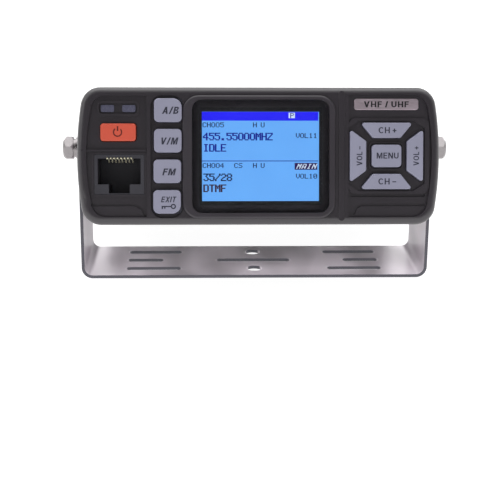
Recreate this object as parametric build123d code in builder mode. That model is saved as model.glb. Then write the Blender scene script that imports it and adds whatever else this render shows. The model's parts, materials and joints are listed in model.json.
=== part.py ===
"""A compact mobile transceiver in its tilting U bracket.

The bracket stands on the floor plane with the middle of its underside at the origin: +Z up,
-Y towards the user, +X to the user's right. Everything in the radio is drawn level, in a frame
whose origin is the middle of the front panel's rim, X to the right, Y backwards and Z up. At the
end each radio piece is moved to its rest pose, nose up in the bracket.
"""

import os
from math import cos, radians, sin

from build123d import *

os.makedirs("parts", exist_ok=True)

# ---------------------------------------------------------------- driving dimensions, mm
# Bracket
BRACKET_OUTER_HALF = 55.8
BRACKET_SHEET = 1.0
BRACKET_DEPTH = 32.0
BRACKET_BEND_INNER = 2.5
ARM_HEIGHT = 49.5
ARM_CORNER = 8.0
SLOT_WIDTH = 3.2
ROW_PITCH = 9.0
LONG_SLOT = 18.3
LONG_SLOT_X = 33.0
SHORT_SLOT = 12.2
SHORT_SLOT_X = 36.0
MIDDLE_SLOT = 25.0
PLATE_HOLE_R = 2.6

# Pivot
PIVOT_HEIGHT = 39.4
PIVOT_BEHIND_FACE = 38.0
PIVOT_ABOVE_MIDDLE = 3.5
TILT = 14.0
BOLT_R = 2.0
BOLT_CLEARANCE = 0.1
FLAT_WASHER = 0.8
SPLIT_WASHER = {-1: 1.2, 1: 1.9}
SPLIT_GAP = 1.3
HEX_TURN = -4.0
BOLT_COLLAR = 0.9
HEX_HEAD = 3.2
HEX_ACROSS_FLATS = 7.0
BOLT_TIP = 46.0

# Radio body
BODY_HALF_WIDTH = 53.95
BODY_HALF_HEIGHT = 20.4
SIDE_BULGE = 2.1
BODY_CORNER = 5.9
BEZEL_DEPTH = 20.0
BEZEL_WALL = 2.0
BEZEL_ROUND = 2.2
FRONT_WALL = 3.2
CHASSIS_HALF_WIDTH = 52.0
CHASSIS_HALF_HEIGHT = 19.2
CHASSIS_CORNER = 4.0
CHASSIS_BACK = 104.0
NECK_FRONT = 16.8
SIDE_WALL = 2.5
REAR_WALL = 3.0
FLOOR_BOTTOM = -15.2
FLOOR_TOP = -12.7
COVER_SHEET = 0.8
BOSS_HEIGHT = 1.3

# Depths behind the front rim (negative stands proud of it)
SURROUND_FRONT = -0.8
LENS_FRONT = -0.1
LENS_THICK = 1.5
SIDE_KEY_FRONT = -1.2
NAV_KEY_FRONT = -1.0
PLATEAU_FRONT = 0.1
PANEL_FLOOR = 0.9
COLUMN_FLOOR = 1.2
RIB_FRONT = -0.25
KEY_FLANGE_BACK = 4.2
MAT_FRONT = 5.2
BOARD_FRONT = 6.6
BOARD_THICK = 1.6
KEY_GAP = 0.22
FLANGE = 0.7
STEM_TIP = 5.7
LCD_FRONT = 1.6
LCD_THICK = 1.4

# Front panel layout (x, z) about the middle of the face
SIDE_KEY = (8.15, 6.95)
SIDE_KEY_CENTRES = {
    "key_a_b": (-26.93, 13.45),
    "key_v_m": (-26.99, 4.5),
    "key_fm": (-27.16, -4.5),
    "key_exit": (-27.28, -13.5),
}
POWER_KEY = (10.45, 5.15)
POWER_CENTRE = (-41.6, 7.0)
LED_RECESS = (12.6, 4.6)
LED_RECESS_CENTRE = (-41.65, 14.03)
LED_WINDOW = (3.9, 2.1)
LED_WINDOW_SPACING = 6.3
JACK_OUTER = (14.76, 11.74)
JACK_CENTRE = (-41.45, -5.44)
JACK_CAVITY = (12.7, 7.64)
JACK_CAVITY_TOP = -0.69
JACK_NOTCH = (6.2, 2.68)
CONTACT_PITCH = 1.02
SURROUND = (45.45, 36.42)
SURROUND_CENTRE = (-0.05, -0.31)
SURROUND_CORNER = 5.0
LENS = (40.71, 33.55)
LENS_CENTRE = (0.46, -0.09)
LENS_CORNER = 3.0
ACTIVE_AREA = (35.04, 28.03)
NAV_CENTRE = (37.8, 0.02)
PLATEAU = (24.1, 22.4)
PLATEAU_CENTRE = (38.6, 0.06)
MENU_KEY = (8.83, 6.66)
CH_WIDE, CH_NARROW, CH_OUTER, CH_INNER = 15.7, 8.2, 9.84, 5.3
VOL_TALL, VOL_SHORT, VOL_OUTER, VOL_INNER = 15.8, 8.7, 10.9, 6.05
BADGE = (19.18, 3.37)
BADGE_CENTRE = (37.84, 15.35)
GROOVE_Z = PLATEAU_CENTRE[1] - PLATEAU[1] / 2 - 0.55
PAD_WELL_MARGIN = 0.6
PAD_RING_OUTER = (10.5, 8.5)
PAD_RING_INNER = (9.7, 7.6)
RIB = (1.9, 38.8)
RIB_CENTRE = (24.5, 0.0)

# Inside and rear
NECK_HALF_WIDTH = 48.9
NECK_HALF_HEIGHT = 16.9
FIN_COUNT = 17
FIN_PITCH = 5.4
FIN_THICK = 1.6
MAIN_BOARD = {"x": (-46.0, 46.0), "y": (24.0, 86.0)}
MAIN_BOARD_Z = -9.7
STANDOFFS = [(x, y) for x in (-42.5, 42.5) for y in (27.5, 82.5)]
COVER_SCREWS = [(x, y) for x in (-45.8, 45.8) for y in (26.5, 60.0, 96.5)]
CONNECTOR_X = -6.0
CONNECTOR_Z = -7.5
JACK_DEPTH = 15.5
CAVITY_DEPTH = 12.5
SPEAKER_CENTRE = (0.0, 50.0)
SPEAKER_R = 16.0
FAN_SIZE = 30.0
FAN_DEPTH = 10.0
FAN_CENTRE = (27.5, 2.6)
FAN_SCREW_PITCH = 24.0
SOCKET_CENTRE = (-12.0, 2.0)
SOCKET_LENGTH = 14.0
SOCKET_SCREW_PITCH = 18.2
DC_CENTRE = (-37.5, 2.0)
SPEAKER_JACK_CENTRE = (8.0, 2.0)

FACE_Y = -PIVOT_BEHIND_FACE * cos(radians(TILT)) - PIVOT_ABOVE_MIDDLE * sin(radians(TILT))
FACE_Z = (
    PIVOT_HEIGHT
    + PIVOT_BEHIND_FACE * sin(radians(TILT))
    - PIVOT_ABOVE_MIDDLE * cos(radians(TILT))
)
RADIO_REST = Location((0, FACE_Y, FACE_Z), (-TILT, 0, 0))
BOARD_BACK = BOARD_FRONT + BOARD_THICK
BOARD_TOP = MAIN_BOARD_Z + BOARD_THICK
SPEAKER_TOP = CHASSIS_HALF_HEIGHT - COVER_SHEET
FAN_BACK = CHASSIS_BACK - REAR_WALL
JACK_FRONT = PANEL_FLOOR - 0.15
CONTACT_X = [JACK_CENTRE[0] + (index - 3.5) * CONTACT_PITCH for index in range(8)]
SIDES = (-1, 1)
PAD_INNER = CHASSIS_HALF_WIDTH + BOSS_HEIGHT
ARM_INNER = BRACKET_OUTER_HALF - BRACKET_SHEET
HEAD_SEAT = {side: BRACKET_OUTER_HALF + FLAT_WASHER + SPLIT_WASHER[side] for side in SIDES}


def face_plane(depth):
    """Plane parallel to the front panel, looking at the user, X right and Z up."""
    return Plane(origin=(0, depth, 0), x_dir=(1, 0, 0), z_dir=(0, -1, 0))


def level_plane(height):
    """Horizontal plane of the radio frame."""
    return Plane.XY.offset(height)


def side_plane(x):
    """Plane across the radio with its normal along +X; sketch X is Y and sketch Y is Z."""
    return Plane(origin=(x, 0, 0), x_dir=(0, 1, 0), z_dir=(1, 0, 0))


def body_outline(inset=0.0, corner=BODY_CORNER):
    """Rounded body outline with gently bulging sides, as a face."""
    half_w = BODY_HALF_WIDTH - inset
    half_h = BODY_HALF_HEIGHT - inset
    corner_w = half_w - SIDE_BULGE
    with BuildSketch() as sketch:
        with BuildLine():
            Line((-corner_w, half_h), (corner_w, half_h))
            ThreePointArc((corner_w, half_h), (half_w, 0), (corner_w, -half_h))
            Line((corner_w, -half_h), (-corner_w, -half_h))
            ThreePointArc((-corner_w, -half_h), (-half_w, 0), (-corner_w, half_h))
        make_face()
        fillet(sketch.vertices(), corner)
    return sketch.sketch


def block(x, y, z):
    """Plain box between the given (low, high) limits, added to the open part."""
    centre = [sum(limits) / 2 for limits in (x, y, z)]
    size = [limits[1] - limits[0] for limits in (x, y, z)]
    with Locations(Location(centre)):
        Box(*size)


def slot_between(x_start, x_end, z, width):
    """Horizontal round-ended slot in the open sketch."""
    with Locations(((x_start + x_end) / 2, z)):
        SlotOverall(x_end - x_start, width)


# ================================================================ bracket
with BuildPart() as mounting_bracket:
    inner_half = BRACKET_OUTER_HALF - BRACKET_SHEET
    with BuildSketch(face_plane(-BRACKET_DEPTH / 2)):
        with BuildLine():
            FilletPolyline(
                (-BRACKET_OUTER_HALF, ARM_HEIGHT),
                (-BRACKET_OUTER_HALF, 0),
                (BRACKET_OUTER_HALF, 0),
                (BRACKET_OUTER_HALF, ARM_HEIGHT),
                radius=BRACKET_BEND_INNER + BRACKET_SHEET,
            )
            Line((BRACKET_OUTER_HALF, ARM_HEIGHT), (inner_half, ARM_HEIGHT))
            FilletPolyline(
                (inner_half, ARM_HEIGHT),
                (inner_half, BRACKET_SHEET),
                (-inner_half, BRACKET_SHEET),
                (-inner_half, ARM_HEIGHT),
                radius=BRACKET_BEND_INNER,
            )
            Line((-inner_half, ARM_HEIGHT), (-BRACKET_OUTER_HALF, ARM_HEIGHT))
        make_face()
    extrude(amount=-BRACKET_DEPTH)
    # rounded upper corners of both arms
    arm_corners = [
        edge
        for edge in mounting_bracket.edges().filter_by(Axis.X)
        if edge.center().Z > ARM_HEIGHT - 1
    ]
    fillet(arm_corners, ARM_CORNER)
    # slots and holes of the mounting plate
    with BuildSketch(Plane.XY):
        with Locations(
            *[(sx * LONG_SLOT_X, sy * ROW_PITCH) for sx in SIDES for sy in SIDES]
        ):
            SlotOverall(LONG_SLOT, SLOT_WIDTH)
        with Locations((-SHORT_SLOT_X, 0), (SHORT_SLOT_X, 0)):
            SlotOverall(SHORT_SLOT, SLOT_WIDTH)
        SlotOverall(MIDDLE_SLOT, SLOT_WIDTH)
        with Locations((0, -ROW_PITCH), (0, ROW_PITCH)):
            Circle(PLATE_HOLE_R)
    extrude(amount=BRACKET_SHEET, mode=Mode.SUBTRACT)
    # pivot holes
    with BuildSketch(Plane.YZ.offset(-BRACKET_OUTER_HALF)):
        with Locations((0, PIVOT_HEIGHT)):
            Circle(BOLT_R + BOLT_CLEARANCE)
    extrude(amount=2 * BRACKET_OUTER_HALF, mode=Mode.SUBTRACT)


# ================================================================ front panel
def front_bezel_part():
    """Moulded front panel: rounded rim, recessed side panels, key column and openings."""
    with BuildPart() as bezel:
        with BuildSketch(face_plane(0)):
            add(body_outline())
        extrude(amount=-BEZEL_DEPTH)
        front_edges = bezel.faces().sort_by(Axis.Y)[0].edges()
        fillet(front_edges, BEZEL_ROUND)
        with BuildSketch(face_plane(BEZEL_DEPTH)):
            add(body_outline(inset=BEZEL_WALL, corner=BODY_CORNER - BEZEL_WALL))
        extrude(amount=BEZEL_DEPTH - FRONT_WALL, mode=Mode.SUBTRACT)

        # recessed panels left and right of the display
        with BuildSketch(face_plane(0)):
            with BuildLine():
                Line((-48.7, 17.8), (-33.3, 17.8))
                Line((-33.3, 17.8), (-33.3, -18.0))
                Line((-33.3, -18.0), (-48.7, -18.0))
                ThreePointArc((-48.7, -18.0), (-51.1, 0), (-48.7, 17.8))
            left = make_face()
            fillet(left.vertices().group_by(Axis.X)[0], 4.2)
            fillet(left.vertices().group_by(Axis.X)[-1], 0.8)
        extrude(amount=-PANEL_FLOOR, mode=Mode.SUBTRACT)
        with BuildSketch(face_plane(0)):
            with BuildLine():
                Line((26.6, 18.2), (49.3, 18.2))
                ThreePointArc((49.3, 18.2), (51.4, 0), (49.3, -18.1))
                Line((49.3, -18.1), (26.6, -18.1))
                Line((26.6, -18.1), (26.6, 18.2))
            right = make_face()
            fillet(right.vertices().group_by(Axis.X)[-1], 4.5)
            fillet(right.vertices().group_by(Axis.X)[0], 0.8)
        extrude(amount=-PANEL_FLOOR, mode=Mode.SUBTRACT)
        # key column beside the display
        with BuildSketch(face_plane(0)):
            with Locations((-27.3, -0.2)):
                RectangleRounded(9.6, 36.2, 3.4)
        extrude(amount=-COLUMN_FLOOR, mode=Mode.SUBTRACT)
        # rib between the display and the right panel
        with BuildSketch(face_plane(FRONT_WALL)):
            with Locations(RIB_CENTRE):
                RectangleRounded(*RIB, 0.9)
        extrude(amount=FRONT_WALL - RIB_FRONT)
        rib_edges = bezel.faces().sort_by(Axis.Y)[0].edges()
        fillet(rib_edges, 0.2)

        # low plateau around the four-way pad
        with BuildSketch(face_plane(FRONT_WALL)):
            with Locations(PLATEAU_CENTRE):
                RectangleRounded(*PLATEAU, 2.2)
        extrude(amount=FRONT_WALL - PLATEAU_FRONT)
        # sunk well under the four-way pad, with a ring around the menu key
        with BuildSketch(face_plane(PLATEAU_FRONT)):
            add(pad_well_outline())
        extrude(amount=PLATEAU_FRONT - PANEL_FLOOR, mode=Mode.SUBTRACT)
        with BuildSketch(face_plane(PANEL_FLOOR)):
            with Locations(NAV_CENTRE):
                RectangleRounded(*PAD_RING_OUTER, 1.6)
                RectangleRounded(*PAD_RING_INNER, 1.3, mode=Mode.SUBTRACT)
        extrude(amount=PANEL_FLOOR - PLATEAU_FRONT - 0.15)
        # shadow groove along the plateau's lower edge
        with BuildSketch(face_plane(0)):
            slot_between(PLATEAU_CENTRE[0] - 11.4, PLATEAU_CENTRE[0] + 11.0, GROOVE_Z, 0.9)
        extrude(amount=-PANEL_FLOOR - 0.6, mode=Mode.SUBTRACT)

        # raised lip around the status windows, with a sunk floor inside
        with BuildSketch(face_plane(PANEL_FLOOR)):
            with Locations(LED_RECESS_CENTRE):
                RectangleRounded(*LED_RECESS, 1.6)
                RectangleRounded(LED_RECESS[0] - 1.4, LED_RECESS[1] - 1.5, 0.9, mode=Mode.SUBTRACT)
        extrude(amount=0.35)
        with BuildSketch(face_plane(PANEL_FLOOR)):
            with Locations(LED_RECESS_CENTRE):
                RectangleRounded(LED_RECESS[0] - 1.4, LED_RECESS[1] - 1.5, 0.9)
        extrude(amount=-0.5, mode=Mode.SUBTRACT)
        # raised frame around the microphone jack and the seam line above it
        with BuildSketch(face_plane(PANEL_FLOOR)):
            with Locations(JACK_CENTRE):
                RectangleRounded(JACK_OUTER[0] + 1.6, JACK_OUTER[1] + 1.4, 0.7)
        extrude(amount=0.3)
        block((-52.7, -33.4), (-0.05, PANEL_FLOOR + 0.35), (1.35, 1.95))

        # decorative grooves below the jack and below the pad
        with BuildSketch(face_plane(0)):
            with BuildLine():
                groove = [(-49.4, -14.4), (-37.0, -14.4), (-34.6, -15.6), (-33.7, -17.6)]
                FilletPolyline(*groove, radius=1.6)
                offset(amount=0.4)
            make_face()
            with BuildLine():
                groove = [(49.2, -14.5), (30.6, -14.5), (28.9, -15.3), (28.4, -17.0)]
                FilletPolyline(*groove, radius=1.2)
                offset(amount=0.4)
            make_face()
        extrude(amount=-PANEL_FLOOR - 0.45, mode=Mode.SUBTRACT)

        # openings for the display, keys, windows, badge and jack
        with BuildSketch(face_plane(0)):
            with Locations(SURROUND_CENTRE):
                RectangleRounded(SURROUND[0] - 1.2, SURROUND[1] - 1.2, SURROUND_CORNER - 0.6)
        extrude(amount=-FRONT_WALL, mode=Mode.SUBTRACT)
        with BuildSketch(face_plane(-1)):
            with Locations(SURROUND_CENTRE):
                RectangleRounded(SURROUND[0] + 0.1, SURROUND[1] + 0.1, SURROUND_CORNER)
            for centre in SIDE_KEY_CENTRES.values():
                with Locations(centre):
                    RectangleRounded(*[side + 2 * KEY_GAP for side in SIDE_KEY], 1.3)
            with Locations(POWER_CENTRE):
                RectangleRounded(*[side + 2 * KEY_GAP for side in POWER_KEY], 1.0)
            with Locations(JACK_CENTRE):
                Rectangle(*[side + 0.1 for side in JACK_OUTER])
        extrude(amount=-1 - COLUMN_FLOOR - 0.6, mode=Mode.SUBTRACT)
        with BuildSketch(face_plane(-1)):
            for centre in SIDE_KEY_CENTRES.values():
                with Locations(centre):
                    RectangleRounded(*[side + 2 * KEY_GAP for side in SIDE_KEY], 1.3)
            with Locations(POWER_CENTRE):
                RectangleRounded(*[side + 2 * KEY_GAP for side in POWER_KEY], 1.0)
            with Locations(JACK_CENTRE):
                Rectangle(*[side + 0.1 for side in JACK_OUTER])
            with GridLocations(LED_WINDOW_SPACING, 1, 2, 1):
                with Locations(LED_RECESS_CENTRE):
                    RectangleRounded(LED_WINDOW[0] + 0.1, LED_WINDOW[1] + 0.1, 0.5)
            for outline in nav_outlines(KEY_GAP):
                add(outline)
        extrude(amount=-1 - FRONT_WALL, mode=Mode.SUBTRACT)
        with BuildSketch(face_plane(PANEL_FLOOR)):
            with Locations(BADGE_CENTRE):
                RectangleRounded(BADGE[0] + 0.1, BADGE[1] + 0.1, 0.95)
        extrude(amount=-0.5, mode=Mode.SUBTRACT)

        # posts that take the front board's screws
        with BuildSketch(face_plane(FRONT_WALL)):
            with Locations(*board_screw_points()):
                Circle(1.6)
                Circle(0.8, mode=Mode.SUBTRACT)
        extrude(amount=-(BOARD_FRONT - FRONT_WALL))
    return bezel


def board_screw_points():
    """Screw places of the front board, shared by the bezel's posts and the screws."""
    return [(-33.6, 11.5), (24.6, 16.2), (24.6, -16.2), (-46.5, -14.4), (45.5, -14.6)]


def trapezoid(points, grow, corner):
    """Rounded four-sided key outline as a face, grown outwards by `grow`."""
    with BuildSketch() as sketch:
        with BuildLine():
            Polyline(*points, close=True)
        make_face()
        fillet(sketch.vertices(), corner)
        if grow:
            offset(amount=grow)
    return sketch.sketch


def nav_points():
    """Corner points of the four direction keys, about the middle of the face."""
    cx, cz = NAV_CENTRE
    channel = [
        (-CH_WIDE / 2, CH_OUTER),
        (CH_WIDE / 2, CH_OUTER),
        (CH_NARROW / 2, CH_INNER),
        (-CH_NARROW / 2, CH_INNER),
    ]
    volume = [
        (VOL_OUTER, VOL_TALL / 2),
        (VOL_OUTER, -VOL_TALL / 2),
        (VOL_INNER, -VOL_SHORT / 2),
        (VOL_INNER, VOL_SHORT / 2),
    ]
    return {
        "key_channel_up": [(cx + x, cz + z) for x, z in channel],
        "key_channel_down": [(cx + x, cz - z) for x, z in reversed(channel)],
        "key_volume_up": [(cx + x, cz + z) for x, z in volume],
        "key_volume_down": [(cx - x, cz + z) for x, z in reversed(volume)],
    }


def menu_outline(grow):
    """Rounded outline of the menu key as a face."""
    with BuildSketch() as sketch:
        with Locations(NAV_CENTRE):
            RectangleRounded(MENU_KEY[0] + 2 * grow, MENU_KEY[1] + 2 * grow, 1.1)
    return sketch.sketch


def pad_well_outline():
    """Eight-sided outline around the four direction keys, as a face."""
    cx, cz = NAV_CENTRE
    half_w, half_h = VOL_OUTER + PAD_WELL_MARGIN, CH_OUTER + PAD_WELL_MARGIN
    flat_w, flat_h = CH_WIDE / 2 + PAD_WELL_MARGIN / 2, VOL_TALL / 2 + PAD_WELL_MARGIN / 2
    corners = [
        (flat_w, half_h), (-flat_w, half_h), (-half_w, flat_h), (-half_w, -flat_h),
        (-flat_w, -half_h), (flat_w, -half_h), (half_w, -flat_h), (half_w, flat_h),
    ]
    with BuildSketch() as sketch:
        with BuildLine():
            Polyline(*[(cx + x, cz + z) for x, z in corners], close=True)
        make_face()
        fillet(sketch.vertices(), 0.6)
    return sketch.sketch


def nav_outlines(grow):
    """Outlines of all five pad keys, grown outwards by `grow`."""
    keys = [trapezoid(points, grow, 0.55) for points in nav_points().values()]
    return keys + [menu_outline(grow)]


def keycap(outline, flange_outline, front, stem_centre, stem_size):
    """Rigid key: softened cap, retaining flange behind the wall and a contact stem."""
    with BuildPart() as key:
        with BuildSketch(face_plane(KEY_FLANGE_BACK)):
            add(outline)
        extrude(amount=KEY_FLANGE_BACK - front)
        fillet(key.faces().sort_by(Axis.Y)[0].edges(), 0.35)
        with BuildSketch(face_plane(KEY_FLANGE_BACK)):
            add(flange_outline)
        extrude(amount=KEY_FLANGE_BACK - FRONT_WALL - 0.05)
        with BuildSketch(face_plane(KEY_FLANGE_BACK)):
            with Locations(stem_centre):
                RectangleRounded(*stem_size, 0.6)
        extrude(amount=KEY_FLANGE_BACK - STEM_TIP)
    return key


front_bezel = front_bezel_part()


def side_key_outline(name):
    """Side key outline: the end keys of the column have larger outer corners."""
    small, medium, large = 1.3, 1.8, 2.6
    corner_radii = {(sx, sz): small for sx in SIDES for sz in SIDES}
    if name == "key_a_b":
        corner_radii[1, 1] = large
    elif name == "key_exit":
        corner_radii[1, -1] = large
        corner_radii[-1, -1] = medium
    centre_x, centre_z = SIDE_KEY_CENTRES[name]
    with BuildSketch() as sketch:
        with Locations((centre_x, centre_z)):
            Rectangle(*SIDE_KEY)
        for (sx, sz), radius in corner_radii.items():
            corner = Vector(centre_x + sx * SIDE_KEY[0] / 2, centre_z + sz * SIDE_KEY[1] / 2)
            fillet(sketch.vertices().sort_by_distance(corner)[0], radius)
    return sketch.sketch


def rounded(centre, size, corner):
    """Rounded rectangle as a face."""
    with BuildSketch() as sketch:
        with Locations(centre):
            RectangleRounded(*size, corner)
    return sketch.sketch


keys = {}
for key_name, key_centre in SIDE_KEY_CENTRES.items():
    flange = rounded(key_centre, (SIDE_KEY[0] + 2 * FLANGE, SIDE_KEY[1] + 2 * FLANGE), 1.0)
    keys[key_name] = keycap(
        side_key_outline(key_name), flange, SIDE_KEY_FRONT, key_centre, (3.4, 3.0)
    )
keys["power_button"] = keycap(
    rounded(POWER_CENTRE, POWER_KEY, 0.9),
    rounded(POWER_CENTRE, (POWER_KEY[0] + 2 * FLANGE, POWER_KEY[1] + 2 * FLANGE), 1.0),
    SIDE_KEY_FRONT + 0.6,
    POWER_CENTRE,
    (4.0, 2.4),
)
for key_name, corners in nav_points().items():
    middle_x = sum(x for x, z in corners) / 4
    middle_z = sum(z for x, z in corners) / 4
    keys[key_name] = keycap(
        trapezoid(corners, 0, 0.55),
        trapezoid(corners, 0.45, 0.55),
        NAV_KEY_FRONT,
        (middle_x, middle_z),
        (2.4, 2.4),
    )
keys["key_menu"] = keycap(
    menu_outline(0), menu_outline(0.5), NAV_KEY_FRONT, NAV_CENTRE, (3.0, 2.6)
)

# ---------------------------------------------------------------- display
with BuildPart() as display_surround:
    with BuildSketch(face_plane(1.7)):
        with Locations(SURROUND_CENTRE):
            RectangleRounded(*SURROUND, SURROUND_CORNER)
    extrude(amount=1.7 - SURROUND_FRONT)
    fillet(display_surround.faces().sort_by(Axis.Y)[0].edges(), 0.7)
    with BuildSketch(face_plane(FRONT_WALL)):
        with Locations(SURROUND_CENTRE):
            RectangleRounded(SURROUND[0] - 1.4, SURROUND[1] - 1.4, SURROUND_CORNER - 0.7)
    extrude(amount=FRONT_WALL - 1.7)
    with BuildSketch(face_plane(SURROUND_FRONT)):
        with Locations(LENS_CENTRE):
            RectangleRounded(*LENS, LENS_CORNER)
    extrude(amount=SURROUND_FRONT - LENS_FRONT - LENS_THICK, mode=Mode.SUBTRACT)
    window = (ACTIVE_AREA[0] + 1.4, ACTIVE_AREA[1] + 1.0)
    with BuildSketch(face_plane(SURROUND_FRONT)):
        with Locations(LENS_CENTRE):
            Rectangle(*window)
    extrude(amount=SURROUND_FRONT - FRONT_WALL, mode=Mode.SUBTRACT)

with BuildPart() as display_lens:
    with BuildSketch(face_plane(LENS_FRONT + LENS_THICK)):
        with Locations(LENS_CENTRE):
            RectangleRounded(LENS[0] - 0.1, LENS[1] - 0.1, LENS_CORNER - 0.05)
    extrude(amount=LENS_THICK)
    chamfer(display_lens.faces().sort_by(Axis.Y)[0].edges(), 0.15)

with BuildPart() as lcd_panel:
    with BuildSketch(face_plane(LCD_FRONT + LCD_THICK)):
        with Locations(LENS_CENTRE):
            Rectangle(ACTIVE_AREA[0] + 0.8, ACTIVE_AREA[1] + 0.4)
    extrude(amount=LCD_THICK)

with BuildPart() as lcd_backlight:
    with BuildSketch(face_plane(BOARD_FRONT)):
        with Locations(LENS_CENTRE):
            Rectangle(ACTIVE_AREA[0] + 4.4, ACTIVE_AREA[1] + 4.0)
    extrude(amount=BOARD_FRONT - FRONT_WALL)
    with BuildSketch(face_plane(FRONT_WALL)):
        with Locations(LENS_CENTRE):
            Rectangle(ACTIVE_AREA[0] + 0.6, ACTIVE_AREA[1] + 0.2)
    extrude(amount=FRONT_WALL - LCD_FRONT - LCD_THICK)

with BuildPart() as front_board:
    with BuildSketch(face_plane(BOARD_BACK)):
        Rectangle(98.0, 33.0)
        with Locations(JACK_CENTRE):
            Rectangle(JACK_OUTER[0] + 0.6, JACK_OUTER[1] + 0.6, mode=Mode.SUBTRACT)
        with Locations(*board_screw_points()):
            Circle(1.1, mode=Mode.SUBTRACT)
    extrude(amount=BOARD_THICK)

with BuildPart() as front_board_screws:
    for screw_x, screw_z in board_screw_points():
        with BuildSketch(face_plane(BOARD_BACK)):
            with Locations((screw_x, screw_z)):
                Circle(1.9)
        extrude(amount=-1.2)
        with BuildSketch(face_plane(BOARD_BACK)):
            with Locations((screw_x, screw_z)):
                Circle(0.75)
        extrude(amount=BOARD_BACK - FRONT_WALL - 0.4)

with BuildPart() as keypad_mat_left:
    with BuildSketch(face_plane(BOARD_FRONT)):
        with Locations((-26.9, 0)):
            Rectangle(9.4, 33.6)
        with Locations((-38.3, POWER_CENTRE[1])):
            Rectangle(14.6, 5.4)
        for key_centre in SIDE_KEY_CENTRES.values():
            with Locations(key_centre):
                RectangleRounded(4.2, 3.8, 0.8, mode=Mode.SUBTRACT)
        with Locations(POWER_CENTRE):
            RectangleRounded(4.8, 3.2, 0.8, mode=Mode.SUBTRACT)
    extrude(amount=BOARD_FRONT - MAT_FRONT)

with BuildPart() as keypad_mat_right:
    with BuildSketch(face_plane(BOARD_FRONT)):
        with Locations(NAV_CENTRE):
            RectangleRounded(23.0, 21.4, 1.0)
        for corners in nav_points().values():
            middle_x = sum(x for x, z in corners) / 4
            middle_z = sum(z for x, z in corners) / 4
            with Locations((middle_x, middle_z)):
                RectangleRounded(3.2, 3.2, 0.8, mode=Mode.SUBTRACT)
        with Locations(NAV_CENTRE):
            RectangleRounded(3.8, 3.4, 0.8, mode=Mode.SUBTRACT)
    extrude(amount=BOARD_FRONT - MAT_FRONT)

with BuildPart() as status_windows:
    with BuildSketch(face_plane(BOARD_FRONT - 1.4)):
        with GridLocations(LED_WINDOW_SPACING, 1, 2, 1):
            with Locations(LED_RECESS_CENTRE):
                RectangleRounded(*LED_WINDOW, 0.45)
    extrude(amount=BOARD_FRONT - 1.4 - PANEL_FLOOR - 0.1)

with BuildPart() as status_leds:
    with BuildSketch(face_plane(BOARD_FRONT)):
        with GridLocations(LED_WINDOW_SPACING, 1, 2, 1):
            with Locations(LED_RECESS_CENTRE):
                Rectangle(2.0, 1.25)
    extrude(amount=1.1)

with BuildPart() as badge_plate:
    with BuildSketch(face_plane(PANEL_FLOOR + 0.5)):
        with Locations(BADGE_CENTRE):
            RectangleRounded(*BADGE, 0.9)
    extrude(amount=0.8)
    fillet(badge_plate.faces().sort_by(Axis.Y)[0].edges(), 0.15)

# ---------------------------------------------------------------- microphone jack
cavity_z = JACK_CAVITY_TOP - JACK_CAVITY[1] / 2
notch_z = JACK_CAVITY_TOP - JACK_CAVITY[1] - JACK_NOTCH[1] / 2
with BuildPart() as mic_jack_housing:
    with BuildSketch(face_plane(JACK_FRONT + JACK_DEPTH)):
        with Locations(JACK_CENTRE):
            Rectangle(*JACK_OUTER)
    extrude(amount=JACK_DEPTH)
    with BuildSketch(face_plane(JACK_FRONT)):
        with Locations((JACK_CENTRE[0], cavity_z)):
            Rectangle(*JACK_CAVITY)
        with Locations((JACK_CENTRE[0], notch_z)):
            Rectangle(JACK_NOTCH[0], JACK_NOTCH[1] + 0.01)
    extrude(amount=-CAVITY_DEPTH, mode=Mode.SUBTRACT)
    # comb slots that guide the contacts along the roof of the cavity
    with BuildSketch(face_plane(JACK_FRONT)):
        for contact_x in CONTACT_X:
            with Locations((contact_x, JACK_CAVITY_TOP + 0.2)):
                Rectangle(0.6, 0.5)
    extrude(amount=-CAVITY_DEPTH + 1.0, mode=Mode.SUBTRACT)

with BuildPart() as mic_jack_contacts:
    hook_y, hook_z = JACK_FRONT + 0.75, JACK_CAVITY_TOP + 0.12
    for contact_x in CONTACT_X:
        with BuildSketch(side_plane(contact_x - 0.22)):
            with BuildLine():
                Polyline(
                    (hook_y, hook_z - 0.3),
                    (hook_y, hook_z + 0.3),
                    (hook_y + 5.2, hook_z + 0.3),
                    (hook_y + 8.2, hook_z - 0.9),
                    (hook_y + 8.2, hook_z - 1.25),
                    (hook_y + 5.0, hook_z),
                    (hook_y + 0.7, hook_z),
                    (hook_y + 0.45, hook_z - 0.3),
                    close=True,
                )
            make_face()
        extrude(amount=0.44)
    hook_edges = mic_jack_contacts.edges().filter_by(Axis.X).group_by(Axis.Y)[0]
    fillet(hook_edges, 0.18)

# ================================================================ chassis
def rear_panel_holes():
    """Rear wall openings: fan, antenna socket, power inlet and speaker jack."""
    with Locations(FAN_CENTRE):
        Circle(FAN_SIZE / 2 - 1.0)
        with GridLocations(FAN_SCREW_PITCH, FAN_SCREW_PITCH, 2, 2):
            Circle(1.3)
    with Locations(SOCKET_CENTRE):
        Circle(8.2)
        with GridLocations(SOCKET_SCREW_PITCH, SOCKET_SCREW_PITCH, 2, 2):
            Circle(1.3)
    with Locations(DC_CENTRE):
        Rectangle(15.2, 8.7)
    with Locations(SPEAKER_JACK_CENTRE):
        Circle(3.1)


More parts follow.
